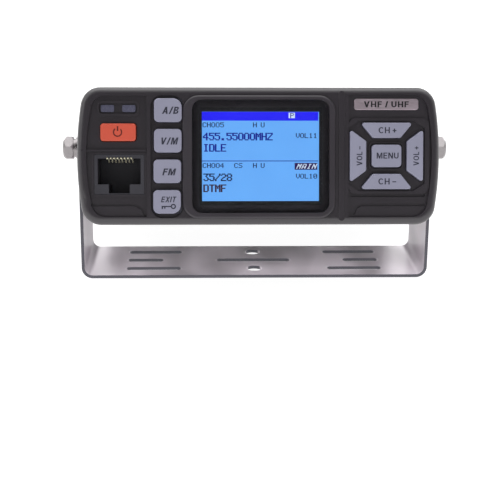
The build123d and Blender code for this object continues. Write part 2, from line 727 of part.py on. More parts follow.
with BuildPart() as chassis:
    # floor, side walls and rear wall, open at the top and at the front
    with BuildSketch(face_plane(CHASSIS_BACK)):
        RectangleRounded(2 * CHASSIS_HALF_WIDTH, 2 * CHASSIS_HALF_HEIGHT, CHASSIS_CORNER)
    extrude(amount=CHASSIS_BACK - BEZEL_DEPTH - 0.1)
    inner_half = CHASSIS_HALF_WIDTH - SIDE_WALL
    block(
        (-NECK_HALF_WIDTH, NECK_HALF_WIDTH),
        (NECK_FRONT, BEZEL_DEPTH + 0.5),
        (-NECK_HALF_HEIGHT, NECK_HALF_HEIGHT),
    )
    # hollow, from the front of the neck to the rear wall
    with Locations((0, (NECK_FRONT + CHASSIS_BACK - REAR_WALL) / 2, (FLOOR_TOP + 30) / 2)):
        Box(
            2 * (NECK_HALF_WIDTH - 2.0),
            CHASSIS_BACK - REAR_WALL - NECK_FRONT,
            30 - FLOOR_TOP,
            mode=Mode.SUBTRACT,
        )
    # seat of the top cover
    with Locations((0, (BEZEL_DEPTH + CHASSIS_BACK) / 2, CHASSIS_HALF_HEIGHT)):
        Box(
            2 * CHASSIS_HALF_WIDTH,
            CHASSIS_BACK - BEZEL_DEPTH,
            2 * COVER_SHEET + 0.1,
            mode=Mode.SUBTRACT,
        )
    # cooling fins under the floor
    fin_gap = FIN_PITCH - FIN_THICK
    with BuildSketch(face_plane(BEZEL_DEPTH + 4)):
        with Locations((0, (FLOOR_BOTTOM - CHASSIS_HALF_HEIGHT) / 2 - 0.5)):
            with GridLocations(FIN_PITCH, 1, FIN_COUNT, 1):
                Rectangle(fin_gap, CHASSIS_HALF_HEIGHT + FLOOR_BOTTOM + 1.0)
    extrude(amount=-(CHASSIS_BACK - BEZEL_DEPTH), mode=Mode.SUBTRACT)
    # short cooling ribs along the sides, as grooves
    with BuildSketch(Plane(origin=(0, CHASSIS_BACK + 1, 0), x_dir=(1, 0, 0), z_dir=(0, -1, 0))):
        for side in SIDES:
            for groove_z in (-11.0, -7.4, 10.6, 14.2):
                with Locations((side * CHASSIS_HALF_WIDTH, groove_z)):
                    Rectangle(2.2, 1.6)
    extrude(amount=CHASSIS_BACK - 52, mode=Mode.SUBTRACT)
    # bosses of the pivot, inside and outside the side walls
    for side in SIDES:
        with BuildSketch(side_plane(side * (CHASSIS_HALF_WIDTH + BOSS_HEIGHT))):
            with Locations((PIVOT_BEHIND_FACE, PIVOT_ABOVE_MIDDLE)):
                Circle(6.5)
        extrude(amount=-side * (BOSS_HEIGHT + SIDE_WALL + 4.0))
        with BuildSketch(side_plane(side * (CHASSIS_HALF_WIDTH + BOSS_HEIGHT + 1))):
            with Locations((PIVOT_BEHIND_FACE, PIVOT_ABOVE_MIDDLE)):
                Circle(3.0)
        extrude(amount=-side * (BOSS_HEIGHT + SIDE_WALL + 6.0), mode=Mode.SUBTRACT)
    # standoffs of the main board
    for stand_x, stand_y in STANDOFFS:
        with Locations((stand_x, stand_y, (FLOOR_TOP + MAIN_BOARD_Z) / 2)):
            Cylinder(3.0, MAIN_BOARD_Z - FLOOR_TOP)
        with Locations((stand_x, stand_y, MAIN_BOARD_Z - 2.5)):
            Cylinder(1.0, 5.0, mode=Mode.SUBTRACT)
    # rear wall openings
    with BuildSketch(face_plane(CHASSIS_BACK + 1)):
        rear_panel_holes()
    extrude(amount=REAR_WALL + 2, mode=Mode.SUBTRACT)
    # corner posts for the cover screws
    for post_x, post_y in COVER_SCREWS:
        block(
            (post_x - 3.0, post_x + 3.0),
            (post_y - 3.0, post_y + 3.0),
            (10.0, CHASSIS_HALF_HEIGHT - COVER_SHEET - 0.05),
        )
        with Locations((post_x, post_y, 15)):
            Cylinder(1.05, 12, mode=Mode.SUBTRACT)

with BuildPart() as top_cover:
    with BuildSketch(face_plane(CHASSIS_BACK)):
        RectangleRounded(2 * CHASSIS_HALF_WIDTH, 2 * CHASSIS_HALF_HEIGHT, CHASSIS_CORNER)
    extrude(amount=CHASSIS_BACK - BEZEL_DEPTH - 0.2)
    with Locations((0, 60, -COVER_SHEET)):
        Box(200, 200, 2 * CHASSIS_HALF_HEIGHT, mode=Mode.SUBTRACT)
    # speaker slots and screw holes
    with BuildSketch(level_plane(CHASSIS_HALF_HEIGHT)):
        with Locations(SPEAKER_CENTRE):
            with GridLocations(0, 3.2, 1, 9):
                SlotOverall(26.0, 1.6)
        with Locations(*COVER_SCREWS):
            Circle(1.3)
    extrude(amount=-2.0, mode=Mode.SUBTRACT)

with BuildPart() as cover_screws:
    for screw_x, screw_y in COVER_SCREWS:
        with Locations((screw_x, screw_y, CHASSIS_HALF_HEIGHT + 0.6)):
            Cylinder(2.4, 1.2)
        with Locations((screw_x, screw_y, CHASSIS_HALF_HEIGHT - 3.5)):
            Cylinder(1.0, 7.0)
    fillet(cover_screws.faces().sort_by(Axis.Z)[-6:].edges(), 0.5)
    with BuildSketch(level_plane(CHASSIS_HALF_HEIGHT + 1.2)):
        with Locations(*COVER_SCREWS):
            Rectangle(2.6, 0.6)
            Rectangle(0.6, 2.6)
    extrude(amount=-0.7, mode=Mode.SUBTRACT)

# ---------------------------------------------------------------- loudspeaker
speaker_at = (*SPEAKER_CENTRE, 0)
with BuildPart() as speaker_frame:
    with BuildSketch(Plane.XZ.offset(-SPEAKER_CENTRE[1])):
        with BuildLine():
            Polyline(
                (9.5, SPEAKER_TOP - 5.6),
                (SPEAKER_R, SPEAKER_TOP - 1.2),
                (SPEAKER_R + 2, SPEAKER_TOP - 1.2),
                (SPEAKER_R + 2, SPEAKER_TOP),
                (SPEAKER_R - 1.2, SPEAKER_TOP),
                (SPEAKER_R - 1.2, SPEAKER_TOP - 0.8),
                (8.6, SPEAKER_TOP - 5.0),
                (4.4, SPEAKER_TOP - 5.0),
                (4.4, SPEAKER_TOP - 5.6),
                close=True,
            )
        make_face()
    revolve(axis=Axis(speaker_at, (0, 0, 1)))

with BuildPart() as speaker_cone:
    with BuildSketch(Plane.XZ.offset(-SPEAKER_CENTRE[1])):
        with BuildLine():
            Polyline(
                (0, SPEAKER_TOP - 2.2),
                (4.0, SPEAKER_TOP - 3.4),
                (SPEAKER_R - 2.6, SPEAKER_TOP - 0.8),
                (SPEAKER_R - 1.4, SPEAKER_TOP - 0.8),
                (SPEAKER_R - 1.4, SPEAKER_TOP - 0.4),
                (SPEAKER_R - 2.6, SPEAKER_TOP - 0.3),
                (4.0, SPEAKER_TOP - 2.9),
                (0, SPEAKER_TOP - 1.7),
                close=True,
            )
        make_face()
    revolve(axis=Axis(speaker_at, (0, 0, 1)))

with BuildPart() as speaker_magnet:
    with Locations((*SPEAKER_CENTRE, SPEAKER_TOP - 5.6 - 1.8)):
        Cylinder(7.5, 3.6)
    with Locations((*SPEAKER_CENTRE, SPEAKER_TOP - 4.6)):
        Cylinder(3.8, 2.2)

with BuildPart() as speaker_clamps:
    for side in SIDES:
        block(
            (side * 19.6 - 2.6, side * 19.6 + 2.6),
            (SPEAKER_CENTRE[1] - 3, SPEAKER_CENTRE[1] + 3),
            (SPEAKER_TOP - 2.2, SPEAKER_TOP - 1.25),
        )
        block(
            (side * 20.4 - 1.8, side * 20.4 + 1.8),
            (SPEAKER_CENTRE[1] - 3, SPEAKER_CENTRE[1] + 3),
            (SPEAKER_TOP - 1.3, SPEAKER_TOP),
        )

# ---------------------------------------------------------------- main board and its parts
with BuildPart() as main_board:
    block(MAIN_BOARD["x"], MAIN_BOARD["y"], (MAIN_BOARD_Z, BOARD_TOP))
    with Locations(*[(x, y, MAIN_BOARD_Z) for x, y in STANDOFFS]):
        Cylinder(1.6, 6, mode=Mode.SUBTRACT)

with BuildPart() as main_board_screws:
    for screw_x, screw_y in STANDOFFS:
        with Locations((screw_x, screw_y, BOARD_TOP + 0.8)):
            Cylinder(2.6, 1.6)
        with Locations((screw_x, screw_y, BOARD_TOP - 2.2)):
            Cylinder(0.95, 4.4)


def shield_can(x, y):
    """Five-sided tinned can standing on the main board."""
    block(x, y, (BOARD_TOP, BOARD_TOP + 5.0))
    wall = 0.4
    with Locations(((x[0] + x[1]) / 2, (y[0] + y[1]) / 2, BOARD_TOP + 2.0)):
        Box(x[1] - x[0] - 2 * wall, y[1] - y[0] - 2 * wall, 5.2, mode=Mode.SUBTRACT)


with BuildPart() as receiver_shield:
    shield_can((-36.0, -12.0), (36.0, 60.0))
with BuildPart() as synthesiser_shield:
    shield_can((14.0, 36.0), (34.0, 54.0))

with BuildPart() as power_transistors:
    for transistor_x in (-30.0, -16.0):
        block((transistor_x - 4.5, transistor_x + 4.5), (68.0, 74.0), (BOARD_TOP, BOARD_TOP + 3.0))

with BuildPart() as output_coils:
    for index in range(4):
        coil_at = (2.0 + 6.5 * index, 71.0, BOARD_TOP + 3.0)
        with Locations(Location(coil_at, (90, 0, 0))):
            Cylinder(2.6, 6.5)
            Cylinder(1.7, 8, mode=Mode.SUBTRACT)

with BuildPart() as board_capacitors:
    for cap_x, cap_y, cap_r, cap_h in ((40.5, 60, 3.6, 9), (40.5, 70, 3.6, 9), (32, 62, 2.5, 6)):
        with Locations((cap_x, cap_y, BOARD_TOP + cap_h / 2)):
            Cylinder(cap_r, cap_h)

with BuildPart() as audio_amplifier:
    block((0.0, 9.0), (60.5, 65.5), (BOARD_TOP, BOARD_TOP + 1.6))
    for index in range(4):
        for pin_y in (59.6, 65.5):
            pin_x = 0.8 + 2.2 * index
            block((pin_x, pin_x + 0.7), (pin_y, pin_y + 0.9), (BOARD_TOP, BOARD_TOP + 0.5))

with BuildPart() as processor:
    with BuildSketch(face_plane(BOARD_BACK)):
        with Locations((2, 2)):
            Rectangle(12, 12)
    extrude(amount=-1.5)
    with BuildSketch(face_plane(BOARD_BACK)):
        with Locations((2, 2)):
            with GridLocations(1.0, 13.4, 10, 2):
                Rectangle(0.4, 1.5)
            with GridLocations(13.4, 1.0, 2, 10):
                Rectangle(1.5, 0.4)
    extrude(amount=-0.4)

with BuildPart() as ribbon_connectors:
    connector_span = (CONNECTOR_X - 7, CONNECTOR_X + 7)
    block(connector_span, (BOARD_BACK, BOARD_BACK + 2.2), (CONNECTOR_Z - 1.6, CONNECTOR_Z + 1.6))
    block(connector_span, (26.0, 29.2), (BOARD_TOP, BOARD_TOP + 2.2))

with BuildPart() as ribbon_cable:
    # flat ribbon in a low bend from the front board to the main board
    with BuildSketch(side_plane(CONNECTOR_X - 6)):
        with BuildLine():
            FilletPolyline(
                (BOARD_BACK + 2.4, CONNECTOR_Z),
                (17.0, CONNECTOR_Z),
                (20.0, BOARD_TOP + 1.1),
                (25.8, BOARD_TOP + 1.1),
                radius=1.2,
            )
            offset(amount=0.15, kind=Kind.INTERSECTION)
        make_face()
    extrude(amount=12)

# ---------------------------------------------------------------- cooling fan
with BuildPart() as fan_frame:
    with BuildSketch(face_plane(FAN_BACK)):
        with Locations(FAN_CENTRE):
            RectangleRounded(FAN_SIZE, FAN_SIZE, 2.0)
            Circle(FAN_SIZE / 2 - 1.0, mode=Mode.SUBTRACT)
            with GridLocations(FAN_SCREW_PITCH, FAN_SCREW_PITCH, 2, 2):
                Circle(1.3, mode=Mode.SUBTRACT)
    extrude(amount=FAN_DEPTH)
    # motor cup held by three struts at the front
    with BuildSketch(face_plane(FAN_BACK - FAN_DEPTH + 1.2)):
        with Locations(FAN_CENTRE):
            Circle(6.5)
            with PolarLocations(9.8, 3):
                Rectangle(10.4, 1.6)
    extrude(amount=1.2)
    with BuildSketch(face_plane(FAN_BACK - FAN_DEPTH + 3.4)):
        with Locations(FAN_CENTRE):
            Circle(1.0)
    extrude(amount=2.2)

with BuildPart() as fan_rotor:
    with BuildSketch(face_plane(FAN_BACK - 1.2)):
        with Locations(FAN_CENTRE):
            Circle(6.6)
    extrude(amount=FAN_DEPTH - 3.4)
    with BuildSketch(face_plane(FAN_BACK - 1.2)):
        with Locations(FAN_CENTRE):
            with PolarLocations(9.7, 7, start_angle=8):
                Rectangle(7.2, 1.0, rotation=14)
    extrude(amount=FAN_DEPTH - 4.2)
    with BuildSketch(face_plane(FAN_BACK - FAN_DEPTH)):
        with Locations(FAN_CENTRE):
            Circle(1.08)
    extrude(amount=-4.0, mode=Mode.SUBTRACT)

with BuildPart() as fan_guard:
    with BuildSketch(face_plane(CHASSIS_BACK + 1.0)):
        with Locations(FAN_CENTRE):
            for ring in (4.5, 8.8, 13.1):
                Circle(ring + 0.6)
                Circle(ring - 0.6, mode=Mode.SUBTRACT)
        with Locations(FAN_CENTRE):
            Rectangle(32.4, 1.2, rotation=45)
            Rectangle(32.4, 1.2, rotation=-45)
            with GridLocations(FAN_SCREW_PITCH, FAN_SCREW_PITCH, 2, 2):
                Circle(2.5)
                Circle(1.3, mode=Mode.SUBTRACT)
    extrude(amount=1.0)

with BuildPart() as fan_screws:
    with BuildSketch(face_plane(CHASSIS_BACK + 1.0)):
        with Locations(FAN_CENTRE):
            with GridLocations(FAN_SCREW_PITCH, FAN_SCREW_PITCH, 2, 2):
                Circle(2.3)
    extrude(amount=-1.4)
    with BuildSketch(face_plane(CHASSIS_BACK + 1.0)):
        with Locations(FAN_CENTRE):
            with GridLocations(FAN_SCREW_PITCH, FAN_SCREW_PITCH, 2, 2):
                Circle(1.2)
    extrude(amount=12.0)

# ---------------------------------------------------------------- antenna socket
with BuildPart() as antenna_socket:
    with BuildSketch(face_plane(CHASSIS_BACK + 1.6)):
        with Locations(SOCKET_CENTRE):
            RectangleRounded(25.4, 25.4, 1.2)
            with GridLocations(SOCKET_SCREW_PITCH, SOCKET_SCREW_PITCH, 2, 2):
                Circle(1.6, mode=Mode.SUBTRACT)
    extrude(amount=1.6)
    with BuildSketch(face_plane(CHASSIS_BACK - REAR_WALL - 4)):
        with Locations(SOCKET_CENTRE):
            Circle(7.9)
    extrude(amount=-(REAR_WALL + 4 + SOCKET_LENGTH))
    # thread relief rings on the outside
    for index in range(7):
        with BuildSketch(face_plane(CHASSIS_BACK + 4.2 + 1.3 * index)):
            with Locations(SOCKET_CENTRE):
                Circle(9.0)
                Circle(7.5, mode=Mode.SUBTRACT)
        extrude(amount=0.5, mode=Mode.SUBTRACT)
    with BuildSketch(face_plane(CHASSIS_BACK + SOCKET_LENGTH)):
        with Locations(SOCKET_CENTRE):
            Circle(6.3)
    extrude(amount=SOCKET_LENGTH + REAR_WALL + 10, mode=Mode.SUBTRACT)

with BuildPart() as antenna_insulator:
    with BuildSketch(face_plane(CHASSIS_BACK + SOCKET_LENGTH - 6.0)):
        with Locations(SOCKET_CENTRE):
            Circle(6.3)
            Circle(3.0, mode=Mode.SUBTRACT)
    extrude(amount=SOCKET_LENGTH - 6.0 + REAR_WALL + 4)

with BuildPart() as antenna_contact:
    with BuildSketch(face_plane(CHASSIS_BACK + SOCKET_LENGTH - 3.0)):
        with Locations(SOCKET_CENTRE):
            Circle(3.0)
            Circle(2.05, mode=Mode.SUBTRACT)
    extrude(amount=11.0)
    with BuildSketch(face_plane(CHASSIS_BACK)):
        with Locations(SOCKET_CENTRE):
            Circle(3.0)
    extrude(amount=12.0)

with BuildPart() as antenna_screws:
    with BuildSketch(face_plane(CHASSIS_BACK + 1.6)):
        with Locations(SOCKET_CENTRE):
            with GridLocations(SOCKET_SCREW_PITCH, SOCKET_SCREW_PITCH, 2, 2):
                Circle(2.5)
    extrude(amount=-1.5)
    with BuildSketch(face_plane(CHASSIS_BACK + 1.6)):
        with Locations(SOCKET_CENTRE):
            with GridLocations(SOCKET_SCREW_PITCH, SOCKET_SCREW_PITCH, 2, 2):
                Circle(1.25)
    extrude(amount=6.0)

# ---------------------------------------------------------------- power inlet and speaker jack
with BuildPart() as dc_inlet_housing:
    with BuildSketch(face_plane(CHASSIS_BACK + 7.0)):
        with Locations(DC_CENTRE):
            RectangleRounded(15.0, 8.5, 0.8)
    extrude(amount=7.0 + REAR_WALL + 5.0)
    with BuildSketch(face_plane(CHASSIS_BACK + 1.2)):
        with Locations(DC_CENTRE):
            RectangleRounded(18.0, 11.5, 1.2)
    extrude(amount=1.2)
    with BuildSketch(face_plane(CHASSIS_BACK + 7.0)):
        with Locations(DC_CENTRE):
            RectangleRounded(13.0, 6.5, 0.5)
    extrude(amount=9.0, mode=Mode.SUBTRACT)

with BuildPart() as dc_inlet_pins:
    for side in SIDES:
        block(
            (DC_CENTRE[0] + side * 4.2 - 1.4, DC_CENTRE[0] + side * 4.2 + 1.4),
            (CHASSIS_BACK - REAR_WALL - 9.0, CHASSIS_BACK + 5.5),
            (DC_CENTRE[1] - 0.5, DC_CENTRE[1] + 0.5),
        )

with BuildPart() as speaker_jack:
    with BuildSketch(face_plane(CHASSIS_BACK - REAR_WALL)):
        with Locations(SPEAKER_JACK_CENTRE):
            Rectangle(7.5, 7.5)
    extrude(amount=11.0)
    with BuildSketch(face_plane(CHASSIS_BACK + 2.2)):
        with Locations(SPEAKER_JACK_CENTRE):
            Circle(3.0)
    extrude(amount=REAR_WALL + 2.2)
    with BuildSketch(face_plane(CHASSIS_BACK + 1.2)):
        with Locations(SPEAKER_JACK_CENTRE):
            Circle(4.2)
    extrude(amount=1.2)
    with BuildSketch(face_plane(CHASSIS_BACK + 2.2)):
        with Locations(SPEAKER_JACK_CENTRE):
            Circle(1.8)
    extrude(amount=14.0, mode=Mode.SUBTRACT)

# ================================================================ pivot hardware
def pivot_ring(x, outer_r, inner_r):
    """Ring around the pivot axis, as a face at the given distance from the middle."""
    with BuildSketch(side_plane(x)) as sketch:
        with Locations((PIVOT_BEHIND_FACE, PIVOT_ABOVE_MIDDLE)):
            Circle(outer_r)
            Circle(inner_r, mode=Mode.SUBTRACT)
    return sketch.sketch


def pivot_bolt(side):
    """M4 hex bolt with a washer-faced, chamfered head and a cross recess."""
    head_seat = HEAD_SEAT[side]
    with BuildPart() as bolt:
        with BuildSketch(side_plane(side * BOLT_TIP)):
            with Locations((PIVOT_BEHIND_FACE, PIVOT_ABOVE_MIDDLE)):
                Circle(BOLT_R)
        extrude(amount=side * (head_seat - BOLT_TIP))
        with BuildSketch(side_plane(side * head_seat)):
            with Locations((PIVOT_BEHIND_FACE, PIVOT_ABOVE_MIDDLE)):
                Circle(HEX_ACROSS_FLATS / 2 - 0.5)
        extrude(amount=side * BOLT_COLLAR)
        with BuildSketch(side_plane(side * (head_seat + BOLT_COLLAR))):
            with Locations((PIVOT_BEHIND_FACE, PIVOT_ABOVE_MIDDLE)):
                RegularPolygon(HEX_ACROSS_FLATS / 2, 6, major_radius=False, rotation=HEX_TURN)
        extrude(amount=side * HEX_HEAD)
        # turned ends: a wide cone common with the hexagon leaves the arcs of a real bolt head
        with BuildSketch(Plane.XY.offset(PIVOT_ABOVE_MIDDLE)):
            with BuildLine():
                seat, end = head_seat + BOLT_COLLAR, head_seat + BOLT_COLLAR + HEX_HEAD
                Polyline(
                    (side * (BOLT_TIP - 1), PIVOT_BEHIND_FACE),
                    (side * (BOLT_TIP - 1), PIVOT_BEHIND_FACE + 3.6),
                    (side * seat, PIVOT_BEHIND_FACE + 3.6),
                    (side * (seat + 0.8), PIVOT_BEHIND_FACE + 4.1),
                    (side * (end - 1.1), PIVOT_BEHIND_FACE + 4.1),
                    (side * end, PIVOT_BEHIND_FACE + 2.9),
                    (side * end, PIVOT_BEHIND_FACE),
                    close=True,
                )
            make_face()
        revolve(
            axis=Axis((0, PIVOT_BEHIND_FACE, PIVOT_ABOVE_MIDDLE), (1, 0, 0)),
            mode=Mode.INTERSECT,
        )
        # cross recess
        with BuildSketch(side_plane(side * (end + 0.1))):
            with Locations((PIVOT_BEHIND_FACE, PIVOT_ABOVE_MIDDLE)):
                Rectangle(3.8, 0.8)
                Rectangle(0.8, 3.8)
        extrude(amount=-side * 1.5, mode=Mode.SUBTRACT)
    return bolt


pivot_bolt_left = pivot_bolt(-1)
pivot_bolt_right = pivot_bolt(1)

with BuildPart() as split_washers:
    for side in SIDES:
        ring = pivot_ring(side * (HEAD_SEAT[side] - SPLIT_WASHER[side]), 3.5, BOLT_R + 0.05)
        extrude(ring, amount=side * SPLIT_WASHER[side])
    # the slanting split, on the front of both
    for side in SIDES:
        split_x = side * (HEAD_SEAT[side] - SPLIT_WASHER[side] / 2)
        with Locations(Location((split_x, PIVOT_BEHIND_FACE - 3, PIVOT_ABOVE_MIDDLE), (0, 35, 0))):
            Box(6, 2.5, SPLIT_GAP, mode=Mode.SUBTRACT)

with BuildPart() as flat_washers:
    for side in SIDES:
        ring = pivot_ring(side * (BRACKET_OUTER_HALF + 0.02), 4.0, BOLT_R + 0.05)
        extrude(ring, amount=side * (FLAT_WASHER - 0.02))

with BuildPart() as friction_pads:
    for side in SIDES:
        ring = pivot_ring(side * PAD_INNER, 6.5, BOLT_R + 0.05)
        extrude(ring, amount=side * (ARM_INNER - 0.02 - PAD_INNER))

with BuildPart() as threaded_inserts:
    for side in SIDES:
        ring = pivot_ring(side * (BOLT_TIP - 0.2), 3.0, BOLT_R)
        extrude(ring, amount=side * (PAD_INNER - BOLT_TIP + 0.2))

# ================================================================ hand-in
RADIO_PIECES = {
    "front_bezel": front_bezel,
    "display_surround": display_surround,
    "display_lens": display_lens,
    "lcd_panel": lcd_panel,
    "lcd_backlight": lcd_backlight,
    "front_board": front_board,
    "front_board_screws": front_board_screws,
    "keypad_mat_left": keypad_mat_left,
    "keypad_mat_right": keypad_mat_right,
    "status_windows": status_windows,
    "status_leds": status_leds,
    "badge_plate": badge_plate,
    "mic_jack_housing": mic_jack_housing,
    "mic_jack_contacts": mic_jack_contacts,
    "chassis": chassis,
    "top_cover": top_cover,
    "cover_screws": cover_screws,
    "speaker_frame": speaker_frame,
    "speaker_cone": speaker_cone,
    "speaker_magnet": speaker_magnet,
    "speaker_clamps": speaker_clamps,
    "main_board": main_board,
    "main_board_screws": main_board_screws,
    "receiver_shield": receiver_shield,
    "synthesiser_shield": synthesiser_shield,
    "power_transistors": power_transistors,
    "output_coils": output_coils,
    "board_capacitors": board_capacitors,
    "audio_amplifier": audio_amplifier,
    "processor": processor,
    "ribbon_connectors": ribbon_connectors,
    "ribbon_cable": ribbon_cable,
    "fan_frame": fan_frame,
    "fan_rotor": fan_rotor,
    "fan_guard": fan_guard,
    "fan_screws": fan_screws,
    "antenna_socket": antenna_socket,
    "antenna_insulator": antenna_insulator,
    "antenna_contact": antenna_contact,
    "antenna_screws": antenna_screws,
    "dc_inlet_housing": dc_inlet_housing,
    "dc_inlet_pins": dc_inlet_pins,
    "speaker_jack": speaker_jack,
    "pivot_bolt_left": pivot_bolt_left,
    "pivot_bolt_right": pivot_bolt_right,
    "split_washers": split_washers,
    "flat_washers": flat_washers,
    "friction_pads": friction_pads,
    "threaded_inserts": threaded_inserts,
    **keys,
}
for node_name, piece in RADIO_PIECES.items():
    piece.part.label = node_name
    piece.part.move(RADIO_REST)
    export_step(piece.part, f"parts/{node_name}.step")

mounting_bracket.part.label = "mounting_bracket"
export_step(mounting_bracket.part, "parts/mounting_bracket.step")
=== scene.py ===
"""Looks of the mobile transceiver: materials, legends, screen picture, light and camera.

Everything is placed in the radio's own panel frame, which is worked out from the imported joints:
panel x runs to the user's right, panel y up the front face and panel z out towards the user,
in millimetres from the middle of the front rim.
"""

import json
import math

import bmesh
import bpy
from mathutils import Matrix, Vector


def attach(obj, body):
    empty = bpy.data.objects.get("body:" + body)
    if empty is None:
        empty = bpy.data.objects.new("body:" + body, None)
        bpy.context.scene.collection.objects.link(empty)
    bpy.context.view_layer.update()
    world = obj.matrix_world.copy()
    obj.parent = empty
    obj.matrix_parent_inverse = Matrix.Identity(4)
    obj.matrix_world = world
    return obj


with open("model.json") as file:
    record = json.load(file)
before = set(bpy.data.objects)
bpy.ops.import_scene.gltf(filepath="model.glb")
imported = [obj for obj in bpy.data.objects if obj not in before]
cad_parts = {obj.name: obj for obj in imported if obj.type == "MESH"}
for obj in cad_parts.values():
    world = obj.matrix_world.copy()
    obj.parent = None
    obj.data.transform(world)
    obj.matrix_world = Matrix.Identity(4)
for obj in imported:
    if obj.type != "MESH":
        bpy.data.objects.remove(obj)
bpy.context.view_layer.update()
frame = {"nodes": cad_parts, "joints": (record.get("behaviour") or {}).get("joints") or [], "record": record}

# ---------------------------------------------------------------- frames and driving sizes
MM = 0.001
JOINTS = {joint["name"]: joint for joint in frame["joints"]}
BODY_OF = {
    node: body
    for body, nodes in frame["record"]["behaviour"]["bodies"].items()
    for node in nodes
}
PIVOT_BEHIND_FACE = 38.0
PIVOT_ABOVE_MIDDLE = 3.5

RIGHT = Vector((1, 0, 0))
BACK = Vector(JOINTS["menu_press"]["axis"]).normalized()
UP = RIGHT.cross(BACK)
PIVOT = Vector(JOINTS["radio_tilt"]["pos_m"])
FACE_MIDDLE = PIVOT - BACK * PIVOT_BEHIND_FACE * MM - UP * PIVOT_ABOVE_MIDDLE * MM


def frame_matrix(x_axis, y_axis, z_axis, origin, scale=MM):
    """Matrix from scaled local coordinates along the three axes to the shared frame."""
    columns = Matrix((x_axis * scale, y_axis * scale, z_axis * scale)).transposed()
    return Matrix.Translation(origin) @ columns.to_4x4()


PANEL = frame_matrix(RIGHT, UP, -BACK, FACE_MIDDLE)

# Heights of visible surfaces in front of the rim (negative is behind it), as in the CAD model
SIDE_KEY_TOP = 1.2
POWER_KEY_TOP = 0.6
NAV_KEY_TOP = 1.0
BADGE_TOP = -0.6
LCD_TOP = -1.6
LENS_BACK = -1.4
PRINT = 0.03

# Places and sizes on the panel
SIDE_KEYS = {
    "key_a_b": (-26.93, 13.45),
    "key_v_m": (-26.99, 4.5),
    "key_fm": (-27.16, -4.5),
    "key_exit": (-27.28, -13.5),
}
POWER_AT = (-41.6, 7.0)
NAV_AT = (37.8, 0.02)
BADGE_AT = (37.84, 15.35)
LENS_AT = (0.46, -0.09)
LENS_SIZE = (40.6, 33.4)
SCREEN_AT = (0.29, -0.07)
SCREEN_SIZE = (34.7, 26.38)
SCREEN_PIXELS = (160, 128)
POWER_SIGN_SHIFT = -0.15
POWER_SIGN_GAP = 34
LOCK_SIGN_SHIFT = (0.5, -1.36)
MASK_DEPTH = 0.1
MASK_GAP = 0.02

# The screen's layers and its dot letters
CELL_LIFT = 0.02
CELL_DEPTH = 0.03
GLYPH_ROWS = 7
SMALL_ITALIC = {"pitch": 7, "cell_w": 1, "cell_h": 1, "heavy": 0.35, "slant": 0.45}
SMALL = {"pitch": 6, "cell_w": 1, "cell_h": 1, "heavy": 0.28}
LARGE = {"pitch": 8, "cell_w": 1.36, "cell_h": 1.57, "heavy": 0.85}

# Printed letters, as parts of their cap height
LETTER_GAP = 0.16
ITALIC = 0.24
HEAVY_STEM = 0.205
EXIT_STEM = 0.185
PAD_STEM = 0.175
BADGE_STEM = 0.21

# Studio, in metres, watts and degrees
FLOOR_FRONT = -3.0
FLOOR_BACK = 2.2
FLOOR_HALF_WIDTH = 5.0
FLOOR_CURVE = 1.2
FLOOR_TOP = 4.0
FLOOR_GLOW = 0.95
AIM = (0, -0.02, 0.03)
LOW_AIM = (0, 0, 0.01)
SHEET_LIGHT_COLOUR = (1, 0.96, 1)
ROOM_TILT = 0.8
ROOM_DARK = (-0.35, 0.14)
ROOM_BRIGHT = (0.7, 1.15)
CAMERA_FOCUS = 88.56
CAMERA_SENSOR = 36.0
CAMERA_TURN = {"pitch": 17.103, "yaw": 2.131, "roll": 0.463}
CAMERA_AT = (-15.757, -393.815, 125.739)


